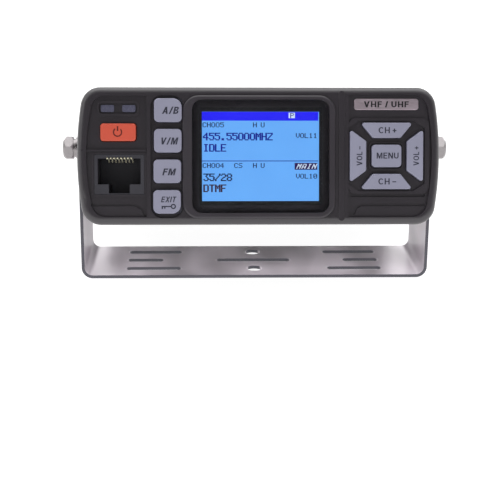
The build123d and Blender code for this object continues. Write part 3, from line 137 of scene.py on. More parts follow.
# ---------------------------------------------------------------- materials
class Shader:
    """Small helper for building one node material around a Principled shader."""

    def __init__(self, name):
        self.material = bpy.data.materials.new(name)
        self.material.use_nodes = True
        self.nodes = self.material.node_tree.nodes
        self.links = self.material.node_tree.links
        self.main = self.nodes["Principled BSDF"]
        self.coordinates = None

    def set(self, **values):
        for name, value in values.items():
            self.main.inputs[name.replace("_", " ")].default_value = value
        return self

    def node(self, kind, **settings):
        made = self.nodes.new(kind)
        for name, value in settings.items():
            setattr(made, name, value)
        return made

    def mapped(self, stretch=(1, 1, 1)):
        if self.coordinates is None:
            self.coordinates = self.node("ShaderNodeTexCoord").outputs["Object"]
        mapping = self.node("ShaderNodeMapping")
        mapping.inputs["Scale"].default_value = stretch
        self.links.new(self.coordinates, mapping.inputs["Vector"])
        return mapping.outputs["Vector"]

    def noise(self, size_mm, stretch=(1, 1, 1), detail=3.0):
        texture = self.node("ShaderNodeTexNoise")
        texture.inputs["Scale"].default_value = 1 / (size_mm * MM)
        texture.inputs["Detail"].default_value = detail
        texture.inputs["Roughness"].default_value = 0.55
        self.links.new(self.mapped(stretch), texture.inputs["Vector"])
        return texture.outputs["Fac"]

    def ranged(self, value, low, high, from_low=0.3, from_high=0.7):
        ramp = self.node("ShaderNodeMapRange")
        ramp.inputs["From Min"].default_value = from_low
        ramp.inputs["From Max"].default_value = from_high
        ramp.inputs["To Min"].default_value = low
        ramp.inputs["To Max"].default_value = high
        self.links.new(value, ramp.inputs["Value"])
        return ramp.outputs["Result"]

    def colours(self, value, dark, light, low=0.3, high=0.7):
        ramp = self.node("ShaderNodeValToRGB")
        ramp.color_ramp.elements[0].position = low
        ramp.color_ramp.elements[0].color = (*dark, 1)
        ramp.color_ramp.elements[1].position = high
        ramp.color_ramp.elements[1].color = (*light, 1)
        self.links.new(value, ramp.inputs["Fac"])
        self.links.new(ramp.outputs["Color"], self.main.inputs["Base Color"])
        return self

    def blend(self, value, colour):
        """Mix the base colour made so far towards another colour."""
        mix = self.node("ShaderNodeMix", data_type="RGBA")
        base = self.main.inputs["Base Color"]
        self.links.new(base.links[0].from_socket, mix.inputs[6])
        mix.inputs[7].default_value = (*colour, 1)
        self.links.new(value, mix.inputs[0])
        self.links.new(mix.outputs[2], base)
        return self

    def rough(self, value, low, high):
        self.links.new(self.ranged(value, low, high), self.main.inputs["Roughness"])
        return self

    def bump(self, value, depth_mm):
        bump = self.node("ShaderNodeBump")
        bump.inputs["Strength"].default_value = 1.0
        bump.inputs["Distance"].default_value = depth_mm * MM
        self.links.new(value, bump.inputs["Height"])
        self.links.new(bump.outputs["Normal"], self.main.inputs["Normal"])
        return self


def srgb(red, green, blue):
    """Linear colour of an 8-bit display colour."""
    def linear(channel):
        channel /= 255
        return channel / 12.92 if channel <= 0.04045 else ((channel + 0.055) / 1.055) ** 2.4
    return tuple(linear(channel) for channel in (red, green, blue))


def tint(colour, factor):
    """Colour made lighter or darker by a factor."""
    return tuple(min(1.0, channel * factor) for channel in colour)


def plastic(name, colour, roughness=0.5, grain_mm=0.25, grain_depth=0.012, spread=0.12, gloss=0.5):
    """Moulded plastic: spark-eroded grain, slow colour drift and uneven gloss."""
    shader = Shader(name).set(Specular_IOR_Level=gloss)
    grain = shader.noise(grain_mm, detail=4)
    drift = shader.noise(14, detail=2)
    shader.colours(drift, tint(colour, 1 - spread), tint(colour, 1 + spread))
    shader.rough(grain, roughness - 0.06, roughness + 0.08)
    shader.bump(grain, grain_depth)
    return shader.material


def metal(
    name, colour, roughness=0.3, size_mm=0.6, stretch=(1, 1, 1), depth=0.004, metallic=1.0
):
    """Metal with a worked surface: the stretch sets the direction of its marks."""
    shader = Shader(name).set(Metallic=metallic)
    marks = shader.noise(size_mm, stretch, detail=5)
    shader.colours(marks, tint(colour, 0.92), tint(colour, 1.08))
    shader.rough(marks, roughness * 0.7, roughness * 1.35)
    shader.bump(marks, depth)
    return shader.material


def brushed_steel(name, colour, edge_shade_colour):
    """Matt stainless sheet brushed along the bracket, with painted reflection patches and painted shade on
    cut edges and slots.
    """
    shader = Shader(name).set(Anisotropic=0.4)
    lines = shader.noise(0.25, (0.03, 1, 1), detail=5)
    # painted reflection: large light and dark patches, drawn out along the depth, stand in for the dark body
    # mirrored in the sheet
    reflection_patches = shader.noise(16, (1, 0.3, 0.5), detail=1)
    shader.colours(reflection_patches, tint(colour, 0.55), tint(colour, 1.0), 0.36, 0.6)
    # painted shade: the sheet's cut edges, front and back and inside the slots, face along its depth and are
    # painted dark so the slots read as shaded
    parts = shader.node("ShaderNodeSeparateXYZ")
    normal = shader.node("ShaderNodeTexCoord").outputs["Normal"]
    shader.links.new(normal, parts.inputs["Vector"])
    size = shader.node("ShaderNodeMath", operation="ABSOLUTE")
    shader.links.new(parts.outputs["Y"], size.inputs[0])
    shaded_edge = shader.ranged(size.outputs["Value"], 0, 1, 0.35, 0.75)
    shader.blend(shaded_edge, edge_shade_colour)
    shader.links.new(shader.ranged(shaded_edge, 0.25, 0.05, 0, 1), shader.main.inputs["Metallic"])
    shader.rough(lines, 0.3, 0.46)
    shader.bump(lines, 0.002)
    return shader.material


def painted(name, colour, roughness=0.45, grain_mm=0.5, depth=0.02):
    """Painted metal with a light orange peel."""
    shader = Shader(name)
    peel = shader.noise(grain_mm, detail=3)
    dust = shader.noise(9, detail=6)
    shader.colours(dust, tint(colour, 0.85), tint(colour, 1.2))
    shader.rough(dust, roughness - 0.08, roughness + 0.1)
    shader.bump(peel, depth)
    return shader.material


def glowing(name, colour):
    """Lit screen colour with the faint unevenness of a backlight."""
    shader = Shader(name).set(Roughness=0.4)
    glow = shader.noise(9, detail=1)
    ramp = shader.node("ShaderNodeValToRGB")
    ramp.color_ramp.elements[0].color = (*tint(colour, 0.93), 1)
    ramp.color_ramp.elements[1].color = (*tint(colour, 1.05), 1)
    shader.links.new(glow, ramp.inputs["Fac"])
    shader.links.new(ramp.outputs["Color"], shader.main.inputs["Emission Color"])
    shader.set(Emission_Strength=1.0, Base_Color=(0.005, 0.005, 0.005, 1))
    return shader.material


def clear_lens(name):
    """Clear hard-coated plastic window."""
    shader = Shader(name)
    smears = shader.noise(6, detail=4)
    shader.rough(smears, 0.02, 0.08)
    shader.set(Transmission_Weight=1.0, IOR=1.2, Base_Color=(0.95, 0.96, 0.98, 1))
    return shader.material


BEZEL_GREY = srgb(33, 27, 35)
SURROUND_GREY = srgb(54, 50, 56)
KEY_GREY = srgb(145, 145, 165)
LEGEND_GREY = srgb(42, 43, 58)
STEEL = srgb(226, 219, 225)

MATERIALS = {
    "bezel_plastic": plastic("bezel_plastic", BEZEL_GREY, 0.36, 0.3, 0.01, gloss=0.95),
    "surround_plastic": plastic("surround_plastic", SURROUND_GREY, 0.36, 0.3, 0.006),
    "key_plastic": plastic("key_plastic", KEY_GREY, 0.42, 0.35, 0.006, 0.04),
    "power_plastic": plastic("power_plastic", srgb(208, 84, 62), 0.4, 0.35, 0.006, 0.06),
    "window_plastic": plastic("window_plastic", srgb(88, 88, 108), 0.25, 0.8, 0.004),
    "lens": clear_lens("lens"),
    "lcd": glowing("lcd", srgb(105, 176, 255)),
    "backlight_plastic": plastic("backlight_plastic", srgb(225, 225, 220)),
    "board": plastic("board", srgb(24, 84, 52), 0.35),
    "mat_rubber": plastic("mat_rubber", srgb(150, 152, 158), 0.6, 0.5),
    "led_resin": plastic("led_resin", srgb(215, 215, 190), 0.2),
    "badge_metal": metal("badge_metal", srgb(214, 198, 208), 0.42, 0.12, (0.06, 1, 1), 0.002),
    "jack_plastic": plastic("jack_plastic", srgb(54, 53, 60), 0.5),
    "gold": metal("gold", srgb(255, 244, 214), 0.3, metallic=0.4),
    "cast_alloy": painted("cast_alloy", srgb(44, 44, 47), 0.5, 0.35, 0.05),
    "cover_paint": painted("cover_paint", srgb(40, 40, 43), 0.42),
    "screw_black": metal("screw_black", srgb(60, 60, 64), 0.4),
    "screw_steel": metal("screw_steel", srgb(152, 148, 149), 0.34, 0.5, depth=0.006),
    "speaker_steel": painted("speaker_steel", srgb(92, 92, 95)),
    "speaker_paper": plastic("speaker_paper", srgb(36, 36, 36), 0.85, 0.7, 0.05),
    "magnet": painted("magnet", srgb(60, 60, 64), 0.6),
    "shield_tin": metal("shield_tin", srgb(200, 200, 198), 0.35),
    "chip_resin": plastic("chip_resin", srgb(30, 30, 32), 0.6),
    "copper": metal("copper", srgb(190, 110, 70), 0.3),
    "can_aluminium": metal("can_aluminium", srgb(130, 134, 150), 0.35),
    "ribbon": plastic("ribbon", srgb(220, 220, 212), 0.35),
    "fan_plastic": plastic("fan_plastic", srgb(30, 30, 33), 0.45),
    "wire_steel": metal("wire_steel", srgb(180, 180, 178), 0.25),
    "nickel": metal("nickel", srgb(202, 198, 186), 0.22),
    "ptfe": plastic("ptfe", srgb(232, 230, 222), 0.5),
    "connector_plastic": plastic("connector_plastic", srgb(34, 34, 36), 0.5),
    # the second colour is painted shade on the bracket's cut edges and slot walls
    "stainless": brushed_steel("stainless", STEEL, srgb(50, 50, 56)),
    "pad_rubber": plastic("pad_rubber", srgb(32, 32, 33), 0.75, 0.5, 0.03),
    "insert_brass": metal("insert_brass", srgb(206, 178, 110), 0.3),
}
LEGEND_INK = plastic("legend_ink", LEGEND_GREY, 0.55, 0.2, 0.002)
BADGE_INK = plastic("badge_ink", srgb(30, 28, 32), 0.45, 0.2, 0.002)
POWER_INK = plastic("power_ink", srgb(96, 26, 14), 0.5, 0.2, 0.002)
MASK_BLACK = plastic("mask_black", srgb(24, 24, 28), 0.5, 0.4, 0.002)
SCREEN_HEADER = glowing("screen_header", srgb(34, 30, 248))
SCREEN_NAVY = glowing("screen_navy", srgb(0, 0, 140))
SCREEN_GREY = glowing("screen_grey", srgb(0, 8, 70))
SCREEN_MAROON = glowing("screen_maroon", srgb(48, 0, 30))
SCREEN_WHITE = glowing("screen_white", srgb(214, 232, 255))
SCREEN_BOX = glowing("screen_box", srgb(40, 16, 84))


def paint_cad_nodes():
    """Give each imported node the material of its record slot."""
    for row in frame["record"]["subparts"]:
        mesh = frame["nodes"][row["node"]].data
        mesh.materials.clear()
        mesh.materials.append(MATERIALS[row["material_slot"]])


# ---------------------------------------------------------------- mesh helpers
BOX_FACES = (
    (0, 2, 3, 1), (4, 5, 7, 6), (0, 1, 5, 4), (2, 6, 7, 3), (0, 4, 6, 2), (1, 3, 7, 5),
)


def object_from(mesh, name, material, body):
    """Object from a mesh in panel millimetres, riding on a body."""
    mesh.name = name
    mesh.transform(PANEL)
    mesh.materials.clear()
    mesh.materials.append(material)
    made = bpy.data.objects.new(name, mesh)
    bpy.context.scene.collection.objects.link(made)
    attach(made, body)
    return made


def slabs(name, boxes, material, body):
    """One object of small closed boxes, each (x0, y0, z0, x1, y1, z1) in panel millimetres."""
    builder = bmesh.new()
    for x0, y0, z0, x1, y1, z1 in boxes:
        corners = [
            builder.verts.new((x, y, z)) for z in (z0, z1) for y in (y0, y1) for x in (x0, x1)
        ]
        for face in BOX_FACES:
            builder.faces.new([corners[index] for index in face])
    mesh = bpy.data.meshes.new(name)
    builder.to_mesh(mesh)
    builder.free()
    return object_from(mesh, name, material, body)


def rounded_loop(size, radius, steps=8):
    """Points of a rounded rectangle about the origin, anticlockwise."""
    half_w, half_h = size[0] / 2 - radius, size[1] / 2 - radius
    points = []
    for quarter, (sx, sy) in enumerate(((1, 1), (-1, 1), (-1, -1), (1, -1))):
        for step in range(steps + 1):
            angle = math.radians(90 * (quarter + step / steps))
            points.append(
                (sx * half_w + radius * math.cos(angle), sy * half_h + radius * math.sin(angle))
            )
    return points


def ring_plate(name, centre, outer, inner, low, high, material, body, closed=True):
    """Flat ring, or open band, between two lines with the same number of points."""
    builder = bmesh.new()
    rows = []
    for loop in (outer, inner):
        for height in (low, high):
            rows.append(
                [builder.verts.new((centre[0] + x, centre[1] + y, height)) for x, y in loop]
            )
    outer_low, outer_high, inner_low, inner_high = rows
    count = len(outer)
    if not closed:
        for end in (0, -1):
            builder.faces.new([row[end] for row in (outer_low, outer_high, inner_high, inner_low)])
    for index in range(count if closed else count - 1):
        after = (index + 1) % count
        for a, b in (
            (outer_low, outer_high),
            (outer_high, inner_high),
            (inner_high, inner_low),
            (inner_low, outer_low),
        ):
            builder.faces.new((a[index], a[after], b[after], b[index]))
    bmesh.ops.recalc_face_normals(builder, faces=builder.faces)
    mesh = bpy.data.meshes.new(name)
    builder.to_mesh(mesh)
    builder.free()
    return object_from(mesh, name, material, body)


def arc(centre, radii, start, end, steps=14):
    """Points of an elliptical arc, both ends included, angles in degrees."""
    points = []
    for step in range(steps + 1):
        angle = math.radians(start + (end - start) * step / steps)
        points.append(
            (centre[0] + radii[0] * math.cos(angle), centre[1] + radii[1] * math.sin(angle))
        )
    return points


def letter(name, stem):
    """(width, loops) of a plain sans-serif sign of height 1, with strokes `stem` wide."""
    bar = stem * 0.86
    lean = stem * 1.1
    if name in "AV":
        width, peak = 0.78, stem * 0.55
        slope = width / 2 - peak
        inner = (width / 2 - lean) / slope
        if name == "V":
            loop = [
                (0, 1), (lean, 1), (width / 2, 1 - inner), (width - lean, 1), (width, 1),
                (width / 2 + peak, 0), (width / 2 - peak, 0),
            ]
            return width, [loop]
        low, high = 0.2, 0.2 + bar
        left = [slope * height + lean for height in (low, high)]
        outer = [
            (0, 0), (width / 2 - peak, 1), (width / 2 + peak, 1), (width, 0), (width - lean, 0),
            (width - left[0], low), (left[0], low), (lean, 0),
        ]
        return width, [outer, [(left[1], high), (width - left[1], high), (width / 2, inner)]]
    if name == "M":
        width, notch = 0.9, stem * 1.3
        middle = width / 2
        rise = 1 - (middle - notch) / (middle - stem * 0.55)
        return width, [[
            (0, 0), (0, 1), (notch, 1), (middle, rise), (width - notch, 1), (width, 1), (width, 0),
            (width - stem, 0), (width - stem, 0.76), (middle + stem * 0.5, 0),
            (middle - stem * 0.5, 0), (stem, 0.76), (stem, 0),
        ]]
    if name == "N":
        width, notch = 0.74, stem * 1.2
        drop = 1 - (width - stem - notch) / (width - notch)
        return width, [[
            (0, 0), (0, 1), (notch, 1), (width - stem, drop), (width - stem, 1), (width, 1),
            (width, 0), (width - notch, 0), (stem, 1 - drop), (stem, 0),
        ]]
    if name in "EF":
        width = 0.62 if name == "E" else 0.58
        top = [
            (0, 0), (0, 1), (width, 1), (width, 1 - bar), (stem, 1 - bar), (stem, 0.52 + bar / 2),
            (width * 0.92, 0.52 + bar / 2), (width * 0.92, 0.52 - bar / 2), (stem, 0.52 - bar / 2),
        ]
        foot = [(stem, bar), (width, bar), (width, 0)] if name == "E" else [(stem, 0)]
        return width, [top + foot]
    if name == "L":
        return 0.56, [[(0, 0), (0, 1), (stem, 1), (stem, bar), (0.56, bar), (0.56, 0)]]
    if name == "I":
        return stem, [[(0, 0), (0, 1), (stem, 1), (stem, 0)]]
    if name == "T":
        width, left = 0.66, 0.33 - stem / 2
        return width, [[
            (0, 1), (width, 1), (width, 1 - bar), (left + stem, 1 - bar), (left + stem, 0),
            (left, 0), (left, 1 - bar), (0, 1 - bar),
        ]]
    if name == "H":
        width, low, high = 0.74, 0.5 - bar / 2, 0.5 + bar / 2
        return width, [[
            (0, 0), (0, 1), (stem, 1), (stem, high), (width - stem, high), (width - stem, 1),
            (width, 1), (width, 0), (width - stem, 0), (width - stem, low), (stem, low), (stem, 0),
        ]]
    if name == "X":
        width = 0.74
        top = 1 - (width / 2 - lean) / (width - lean)
        return width, [[
            (0, 1), (lean, 1), (width / 2, top), (width - lean, 1), (width, 1),
            ((width + lean) / 2, 0.5), (width, 0), (width - lean, 0), (width / 2, 1 - top),
            (lean, 0), (0, 0), ((width - lean) / 2, 0.5),
        ]]
    if name == "U":
        width, turn = 0.72, 0.36
        middle = (width / 2, turn)
        outer = arc(middle, (width / 2, turn), 180, 360)
        inner = arc(middle, (width / 2 - stem, turn - bar), 360, 180)
        return width, [[(0, 1)] + outer + [(width, 1), (width - stem, 1)] + inner + [(stem, 1)]]
    if name == "O":
        width, middle = 0.82, (0.41, 0.5)
        inner = arc(middle, (width / 2 - stem, 0.5 - bar), 0, 346)
        return width, [arc(middle, (width / 2, 0.5), 0, 346), inner]
    if name == "C":
        width, middle = 0.78, (0.41, 0.5)
        outer = arc(middle, (0.41, 0.5), 42, 318)
        return width, [outer + arc(middle, (0.41 - stem, 0.5 - bar), 318, 42)]
    if name == "B":
        width, waist, straight = 0.68, 0.52, 0.36
        outer = [(0, 0), (0, 1)]
        upper = width - 0.04
        outer += arc((straight, (1 + waist) / 2), (upper - straight, (1 - waist) / 2), 90, -90)
        outer += arc((straight, waist / 2), (width - straight, waist / 2), 90, -90)[1:]
        loops = [outer]
        for low, high, reach in (
            (waist + bar / 2, 1 - bar, upper - stem - straight),
            (bar, waist - bar / 2, width - stem - straight),
        ):
            hole = [(stem, low), (stem, high)]
            hole += arc((straight, (low + high) / 2), (reach, (high - low) / 2), 90, -90)
            loops.append(hole)
        return width, loops
    if name == "/":
        return 0.44, [[(0, -0.02), (0.44 - stem, 1.02), (0.44, 1.02), (stem, -0.02)]]
    low, high = 0.44 - bar / 2, 0.44 + bar / 2
    if name == "-":
        return 0.56, [[(0, low), (0, high), (0.56, high), (0.56, low)]]
    if name == "+":
        left, right = 0.29 - stem / 2, 0.29 + stem / 2
        return 0.58, [[
            (0, low), (0, high), (left, high), (left, high + 0.24), (right, high + 0.24),
            (right, high), (0.58, high), (0.58, low), (right, low), (right, low - 0.24),
            (left, low - 0.24), (left, low),
        ]]
    return 0.1, []


def text_mesh(words, size, at, height, stem, slant=0.0, turn=0.0):
    """Closed mesh of printed words, scaled to (width, cap height) and centred on the panel."""
    loops, cursor = [], 0.0
    for sign in words:
        width, outlines = letter(sign, stem)
        loops += [[(x + cursor + slant * y, y) for x, y in outline] for outline in outlines]
        cursor += width + LETTER_GAP
    across = [x for loop in loops for x, y in loop]
    left, right = min(across), max(across)
    curve = bpy.data.curves.new("words", "CURVE")
    curve.dimensions = "2D"
    curve.fill_mode = "BOTH"
    curve.extrude = PRINT
    for loop in loops:
        spline = curve.splines.new("POLY")
        spline.points.add(len(loop) - 1)
        for point, (x, y) in zip(spline.points, loop):
            point.co = (
                (x - (left + right) / 2) / (right - left) * size[0], (y - 0.5) * size[1], 0, 1
            )
        spline.use_cyclic_u = True
    holder = bpy.data.objects.new("words", curve)
    bpy.context.scene.collection.objects.link(holder)
    bpy.context.view_layer.update()
    graph = bpy.context.evaluated_depsgraph_get()
    mesh = bpy.data.meshes.new_from_object(holder.evaluated_get(graph))
    bpy.data.objects.remove(holder)
    bpy.data.curves.remove(curve)
    mesh.transform(
        Matrix.Translation((at[0], at[1], height)) @ Matrix.Rotation(math.radians(turn), 4, "Z")
    )
    builder = bmesh.new()
    builder.from_mesh(mesh)
    bmesh.ops.remove_doubles(builder, verts=builder.verts, dist=1e-4)
    builder.to_mesh(mesh)
    builder.free()
    return mesh


# ---------------------------------------------------------------- legends on the keys
def legends():
    """Function words on the keys: each rides on its own key."""
    bold = {"slant": ITALIC, "stem": HEAVY_STEM}
    light = {"slant": ITALIC, "stem": EXIT_STEM}
    words = [
        ("key_a_b", "A/B", (5.0, 2.05), (0.76, -0.05), SIDE_KEY_TOP, bold),
        ("key_v_m", "V/M", (5.0, 2.05), (0.65, -0.1), SIDE_KEY_TOP, bold),
        ("key_fm", "FM", (4.15, 2.0), (0.57, -0.18), SIDE_KEY_TOP, bold),
        ("key_exit", "EXIT", (4.6, 1.66), (0.5, 0.72), SIDE_KEY_TOP, light),
    ]
    for node, text, size, shift, top, style in words:
        at = (SIDE_KEYS[node][0] + shift[0], SIDE_KEYS[node][1] + shift[1])
        mesh = text_mesh(text, size, at, top, **style)
        object_from(mesh, "legend_" + node, LEGEND_INK, BODY_OF[node])
    pad = [
        ("key_menu", "MENU", (6.5, 1.75), (0.27, 0.1), 0),
        ("key_channel_up", "CH +", (5.3, 1.8), (0.2, 7.6), 0),
        ("key_channel_down", "CH -", (5.3, 1.8), (0.2, -7.55), 0),
        ("key_volume_down", "VOL -", (5.7, 1.7), (-8.1, 0.0), 90),
        ("key_volume_up", "VOL +", (5.7, 1.7), (8.8, 0.0), 90),
    ]
    for node, text, size, shift, turn in pad:
        at = (NAV_AT[0] + shift[0], NAV_AT[1] + shift[1])
        mesh = text_mesh(text, size, at, NAV_KEY_TOP, PAD_STEM, turn=turn)
        object_from(mesh, "legend_" + node, LEGEND_INK, BODY_OF[node])
    mesh = text_mesh("VHF / UHF", (13.4, 1.75), BADGE_AT, BADGE_TOP, BADGE_STEM)
    object_from(mesh, "badge_words", BADGE_INK, BODY_OF["badge_plate"])


def circle_loop(radius, start=0.0, sweep=360.0, steps=28):
    """Points of a circle or arc about the origin."""
    return [
        (
            radius * math.cos(math.radians(start + sweep * step / steps)),
            radius * math.sin(math.radians(start + sweep * step / steps)),
        )
        for step in range(steps)
    ]


def signs():
    """Power sign on the orange key and the little key on the lock key."""
    body = BODY_OF["power_button"]
    x, y = POWER_AT[0] + POWER_SIGN_SHIFT, POWER_AT[1]
    turn = {"start": 90 + POWER_SIGN_GAP, "sweep": 360 - 2 * POWER_SIGN_GAP}
    ring = circle_loop(1.38, **turn)
    hollow = circle_loop(1.0, **turn)
    low, high = POWER_KEY_TOP - PRINT, POWER_KEY_TOP + PRINT
    ring_plate(
        "power_sign_ring", (x, y), ring, hollow, low, high, POWER_INK, body,
        closed=False,
    )
    bar = [(x - 0.2, y + 0.35, low, x + 0.2, y + 1.75, high)]
    slabs("power_sign_bar", bar, POWER_INK, body)
    body = BODY_OF["key_exit"]
    x, y = (place + shift for place, shift in zip(SIDE_KEYS["key_exit"], LOCK_SIGN_SHIFT))
    low, high = SIDE_KEY_TOP - PRINT, SIDE_KEY_TOP + PRINT
    ring_plate(
        "lock_sign_bow", (x + 1.35, y), circle_loop(0.76), circle_loop(0.42),
        low, high, LEGEND_INK, body,
    )
    slabs(
        "lock_sign_blade",
        [
            (x - 2.1, y - 0.17, low, x + 0.66, y + 0.17, high),
            (x - 2.1, y - 0.75, low, x - 1.72, y - 0.17, high),
            (x - 1.35, y - 0.65, low, x - 0.97, y - 0.17, high),
        ],
        LEGEND_INK, body,
    )


# ---------------------------------------------------------------- screen picture
GLYPHS = {
    "0": "01110 10001 10011 10101 11001 10001 01110",
    "1": "00100 01100 00100 00100 00100 00100 01110",
    "2": "01110 10001 00001 00110 01000 10000 11111",
    "3": "11111 00010 00100 00010 00001 10001 01110",
    "4": "00010 00110 01010 10010 11111 00010 00010",
    "5": "11111 10000 11110 00001 00001 10001 01110",
    "8": "01110 10001 10001 01110 10001 10001 01110",
    ".": "00000 00000 00000 00000 00000 01100 01100",
    "/": "00001 00001 00010 00100 01000 10000 10000",
    "A": "01110 10001 10001 10001 11111 10001 10001",
    "C": "01110 10001 10000 10000 10000 10001 01110",
    "D": "11110 10001 10001 10001 10001 10001 11110",
    "E": "11111 10000 10000 11110 10000 10000 11111",
    "F": "11111 10000 10000 11110 10000 10000 10000",
    "H": "10001 10001 10001 11111 10001 10001 10001",
    "I": "01110 00100 00100 00100 00100 00100 01110",
    "L": "10000 10000 10000 10000 10000 10000 11111",
    "M": "10001 11011 10101 10101 10001 10001 10001",
    "N": "10001 11001 10101 10101 10011 10001 10001",
    "O": "01110 10001 10001 10001 10001 10001 01110",
    "P": "11110 10001 10001 11110 10000 10000 10000",
    "S": "01111 10000 10000 01110 00001 00001 11110",
    "T": "11111 00100 00100 00100 00100 00100 00100",
    "U": "10001 10001 10001 10001 10001 10001 01110",
    "V": "10001 10001 10001 10001 10001 01010 00100",
    "Z": "11111 00001 00010 00100 01000 10000 11111",
}
CELL = (SCREEN_SIZE[0] / SCREEN_PIXELS[0], SCREEN_SIZE[1] / SCREEN_PIXELS[1])
SCREEN_LEFT = SCREEN_AT[0] - SCREEN_SIZE[0] / 2
SCREEN_TOP = SCREEN_AT[1] + SCREEN_SIZE[1] / 2


def screen_box(column, row, width, height, layer):
    """Closed slab over a block of screen cells, in panel millimetres."""
    left = SCREEN_LEFT + column * CELL[0]
    top = SCREEN_TOP - row * CELL[1]
    lift = LCD_TOP + CELL_LIFT * layer
    return (left, top - height * CELL[1], lift - CELL_DEPTH, left + width * CELL[0], top, lift)


def glyph_boxes(words, column, row, pitch, cell_w, cell_h, heavy=0.0, slant=0.0, layer=1):
    """Slabs of words drawn with the five-by-seven dot letters, `row` being the top line."""
    boxes = []
    for index, sign in enumerate(words):
        for line, bits in enumerate(GLYPHS[sign].split()):
            start = None
            for dot, bit in enumerate(bits + "0"):
                if bit == "1" and start is None:
                    start = dot
                elif bit == "0" and start is not None:
                    left = column + index * pitch + start * cell_w + slant * (GLYPH_ROWS - 1 - line)
                    width = (dot - start) * cell_w + heavy
                    boxes.append(
                        screen_box(left, row + line * cell_h, width, cell_h * 1.001, layer)
                    )
                    start = None
    return boxes


def screen_picture():
    """Status lines of a two-channel radio in dot letters, a little in front of the LCD."""
    def show(name, boxes, material):
        slabs("screen_" + name, boxes, material, "radio")

    small_words = (
        ("CHOO5", 1.4, 15.2), ("H", 70.4, 15.2), ("U", 81.0, 15.2), ("VOL11", 129.2, 30.6),
        ("CHOO4", 1.4, 73.6), ("CS", 44.6, 73.6), ("H", 70.4, 73.6), ("U", 81.0, 73.6),
        ("VOL10", 129.4, 89.0),
    )
    small_boxes = []
    for words, column, row in small_words:
        small_boxes += glyph_boxes(words, column, row, **SMALL)
    show("header", [screen_box(0, 0, 160, 12.7, 1)], SCREEN_HEADER)
    show("header_sign", [screen_box(119.3, 1.2, 8.6, 7.8, 2)], SCREEN_WHITE)
    show("header_letter", glyph_boxes("P", 121.4, 1.8, layer=3, **SMALL), SCREEN_NAVY)
    show("divider", [screen_box(0, 70.0, 160, 1.1, 1)], SCREEN_NAVY)
    show("small_text", small_boxes, SCREEN_GREY)
    show(
        "large_text",
        glyph_boxes("455.55OOOMHZ", 1.9, 30.0, **LARGE)
        + glyph_boxes("IDLE", 2.2, 46.2, **LARGE),
        SCREEN_NAVY,
    )
    show("number_text", glyph_boxes("35/28", 2.2, 88.6, **LARGE), SCREEN_GREY)
    show("mode_text", glyph_boxes("DTMF", 2.2, 104.4, **LARGE), SCREEN_MAROON)
    show("main_box", [screen_box(127.6, 73.4, 31.2, 9.8, 1)], SCREEN_BOX)
    show(
        "main_text",
        glyph_boxes("MAIN", 129.8, 74.8, layer=2, **SMALL_ITALIC),
        SCREEN_WHITE,
    )


def lens_mask():
    """Black printed border behind the lens."""
    outer = rounded_loop(LENS_SIZE, 2.9)
    inner = rounded_loop((SCREEN_SIZE[0] + 0.1, SCREEN_SIZE[1] + 0.1), 0.05)
    ring_plate(
        "lens_mask", LENS_AT, outer, inner, LENS_BACK - MASK_GAP - MASK_DEPTH, LENS_BACK - MASK_GAP,
        MASK_BLACK, "radio",
    )


# ---------------------------------------------------------------- floor, light and camera
def stage():
    """Pale seamless floor that curves up far behind the object."""
    builder = bmesh.new()
    profile = [(FLOOR_FRONT, 0.0), (FLOOR_BACK, 0.0)]
    for degrees in range(10, 91, 10):
        angle = math.radians(degrees)
        along, drop = FLOOR_CURVE * math.sin(angle), FLOOR_CURVE * math.cos(angle)
        profile.append((FLOOR_BACK + along, FLOOR_CURVE - drop))
    profile.append((FLOOR_BACK + FLOOR_CURVE, FLOOR_TOP))
    sides = (-FLOOR_HALF_WIDTH, FLOOR_HALF_WIDTH)
    rows = [[builder.verts.new((x, y, z)) for y, z in profile] for x in sides]
    for index in range(len(profile) - 1):
        builder.faces.new(
            (rows[0][index], rows[1][index], rows[1][index + 1], rows[0][index + 1])
        )
    mesh = bpy.data.meshes.new("floor")
    builder.to_mesh(mesh)
    builder.free()
    for polygon in mesh.polygons:
        polygon.use_smooth = True
    shader = Shader("floor_light_table").set(Roughness=0.9)
    fibres = shader.noise(1.2, detail=4)
    shader.colours(fibres, (0.24, 0.24, 0.24), (0.27, 0.27, 0.27))
    shader.set(Emission_Color=(1, 1, 1, 1), Emission_Strength=FLOOR_GLOW)
    mesh.materials.append(shader.material)
    floor = bpy.data.objects.new("floor", mesh)
    bpy.context.scene.collection.objects.link(floor)


def area_light(name, at, target, size, watts, colour=(1, 1, 1)):
    """Soft rectangular lamp aimed at a point."""
    lamp = bpy.data.lights.new(name, "AREA")
    lamp.shape = "RECTANGLE"
    lamp.size, lamp.size_y = size
    lamp.energy = watts
    lamp.color = colour
    holder = bpy.data.objects.new(name, lamp)
    holder.location = at
    holder.rotation_euler = (Vector(target) - Vector(at)).to_track_quat("-Z", "Y").to_euler()
    bpy.context.scene.collection.objects.link(holder)
    return holder


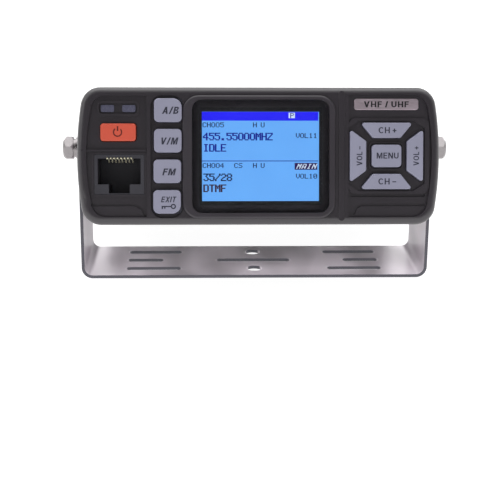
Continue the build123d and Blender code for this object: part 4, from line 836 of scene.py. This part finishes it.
def studio():
    """Light from above and behind over a bright floor, as in a white sweep, darker in front."""
    area_light("top_light", (0.0, 0.25, 1.1), AIM, (1.6, 1.0), 7)
    area_light("left_light", (-1.0, -0.35, 0.55), AIM, (0.5, 0.8), 1.6)
    area_light("rear_light", (0.0, 1.3, 0.14), LOW_AIM, (2.2, 0.26), 9)
    fill = area_light("low_light", (-0.1, -1.1, 0.3), LOW_AIM, (1.6, 0.4), 2.4)
    fill.visible_glossy = False
    fill.visible_transmission = False
    # a lamp for the sheet metal alone, which would else sit in the body's shade
    receivers = bpy.data.collections.new("sheet_metal")
    receivers.objects.link(frame["nodes"]["mounting_bracket"])
    lamp = area_light(
        "sheet_light", (0.0, -1.0, 0.45), LOW_AIM, (0.3, 0.5), 20, SHEET_LIGHT_COLOUR
    )
    lamp.light_linking.receiver_collection = receivers
    world = bpy.data.worlds.new("studio")
    world.use_nodes = True
    nodes, links = world.node_tree.nodes, world.node_tree.links
    background = nodes["Background"]
    # a dark room in front of the object and a white one above and behind it
    direction = nodes.new("ShaderNodeTexCoord").outputs["Generated"]
    parts = nodes.new("ShaderNodeSeparateXYZ")
    links.new(direction, parts.inputs["Vector"])
    lift = nodes.new("ShaderNodeMath")
    lift.operation = "MULTIPLY_ADD"
    lift.inputs[1].default_value = ROOM_TILT
    links.new(parts.outputs["Z"], lift.inputs[0])
    links.new(parts.outputs["Y"], lift.inputs[2])
    ramp = nodes.new("ShaderNodeMapRange")
    for end, (height, light) in (("Min", ROOM_DARK), ("Max", ROOM_BRIGHT)):
        ramp.inputs["From " + end].default_value = height
        ramp.inputs["To " + end].default_value = light
    links.new(lift.outputs["Value"], ramp.inputs["Value"])
    # whoever looks past the floor sees plain white
    seen = nodes.new("ShaderNodeLightPath").outputs["Is Camera Ray"]
    strength = nodes.new("ShaderNodeMath")
    strength.operation = "MAXIMUM"
    links.new(seen, strength.inputs[0])
    links.new(ramp.outputs["Result"], strength.inputs[1])
    links.new(strength.outputs["Value"], background.inputs["Strength"])
    background.inputs["Color"].default_value = (1, 1, 1, 1)
    bpy.context.scene.world = world
    bpy.context.scene.view_settings.view_transform = "Standard"


def camera():
    """Long lens a little left of and above the object, looking slightly down."""
    lens = bpy.data.cameras.new("camera")
    lens.lens = CAMERA_FOCUS
    lens.sensor_width = CAMERA_SENSOR
    lens.clip_start = 0.01
    holder = bpy.data.objects.new("camera", lens)
    pitch, yaw, roll = (math.radians(CAMERA_TURN[name]) for name in ("pitch", "yaw", "roll"))
    forward = Vector(
        (math.sin(yaw) * math.cos(pitch), math.cos(yaw) * math.cos(pitch), -math.sin(pitch))
    )
    right = Vector((math.cos(yaw), -math.sin(yaw), 0))
    up = right.cross(forward)
    rolled_right = right * math.cos(roll) + up * math.sin(roll)
    rolled_up = up * math.cos(roll) - right * math.sin(roll)
    at = Vector(CAMERA_AT) * MM
    holder.matrix_world = frame_matrix(rolled_right, rolled_up, -forward, at, scale=1.0)
    bpy.context.scene.collection.objects.link(holder)
    bpy.context.scene.camera = holder


paint_cad_nodes()
legends()
signs()
screen_picture()
lens_mask()
stage()
studio()
camera()
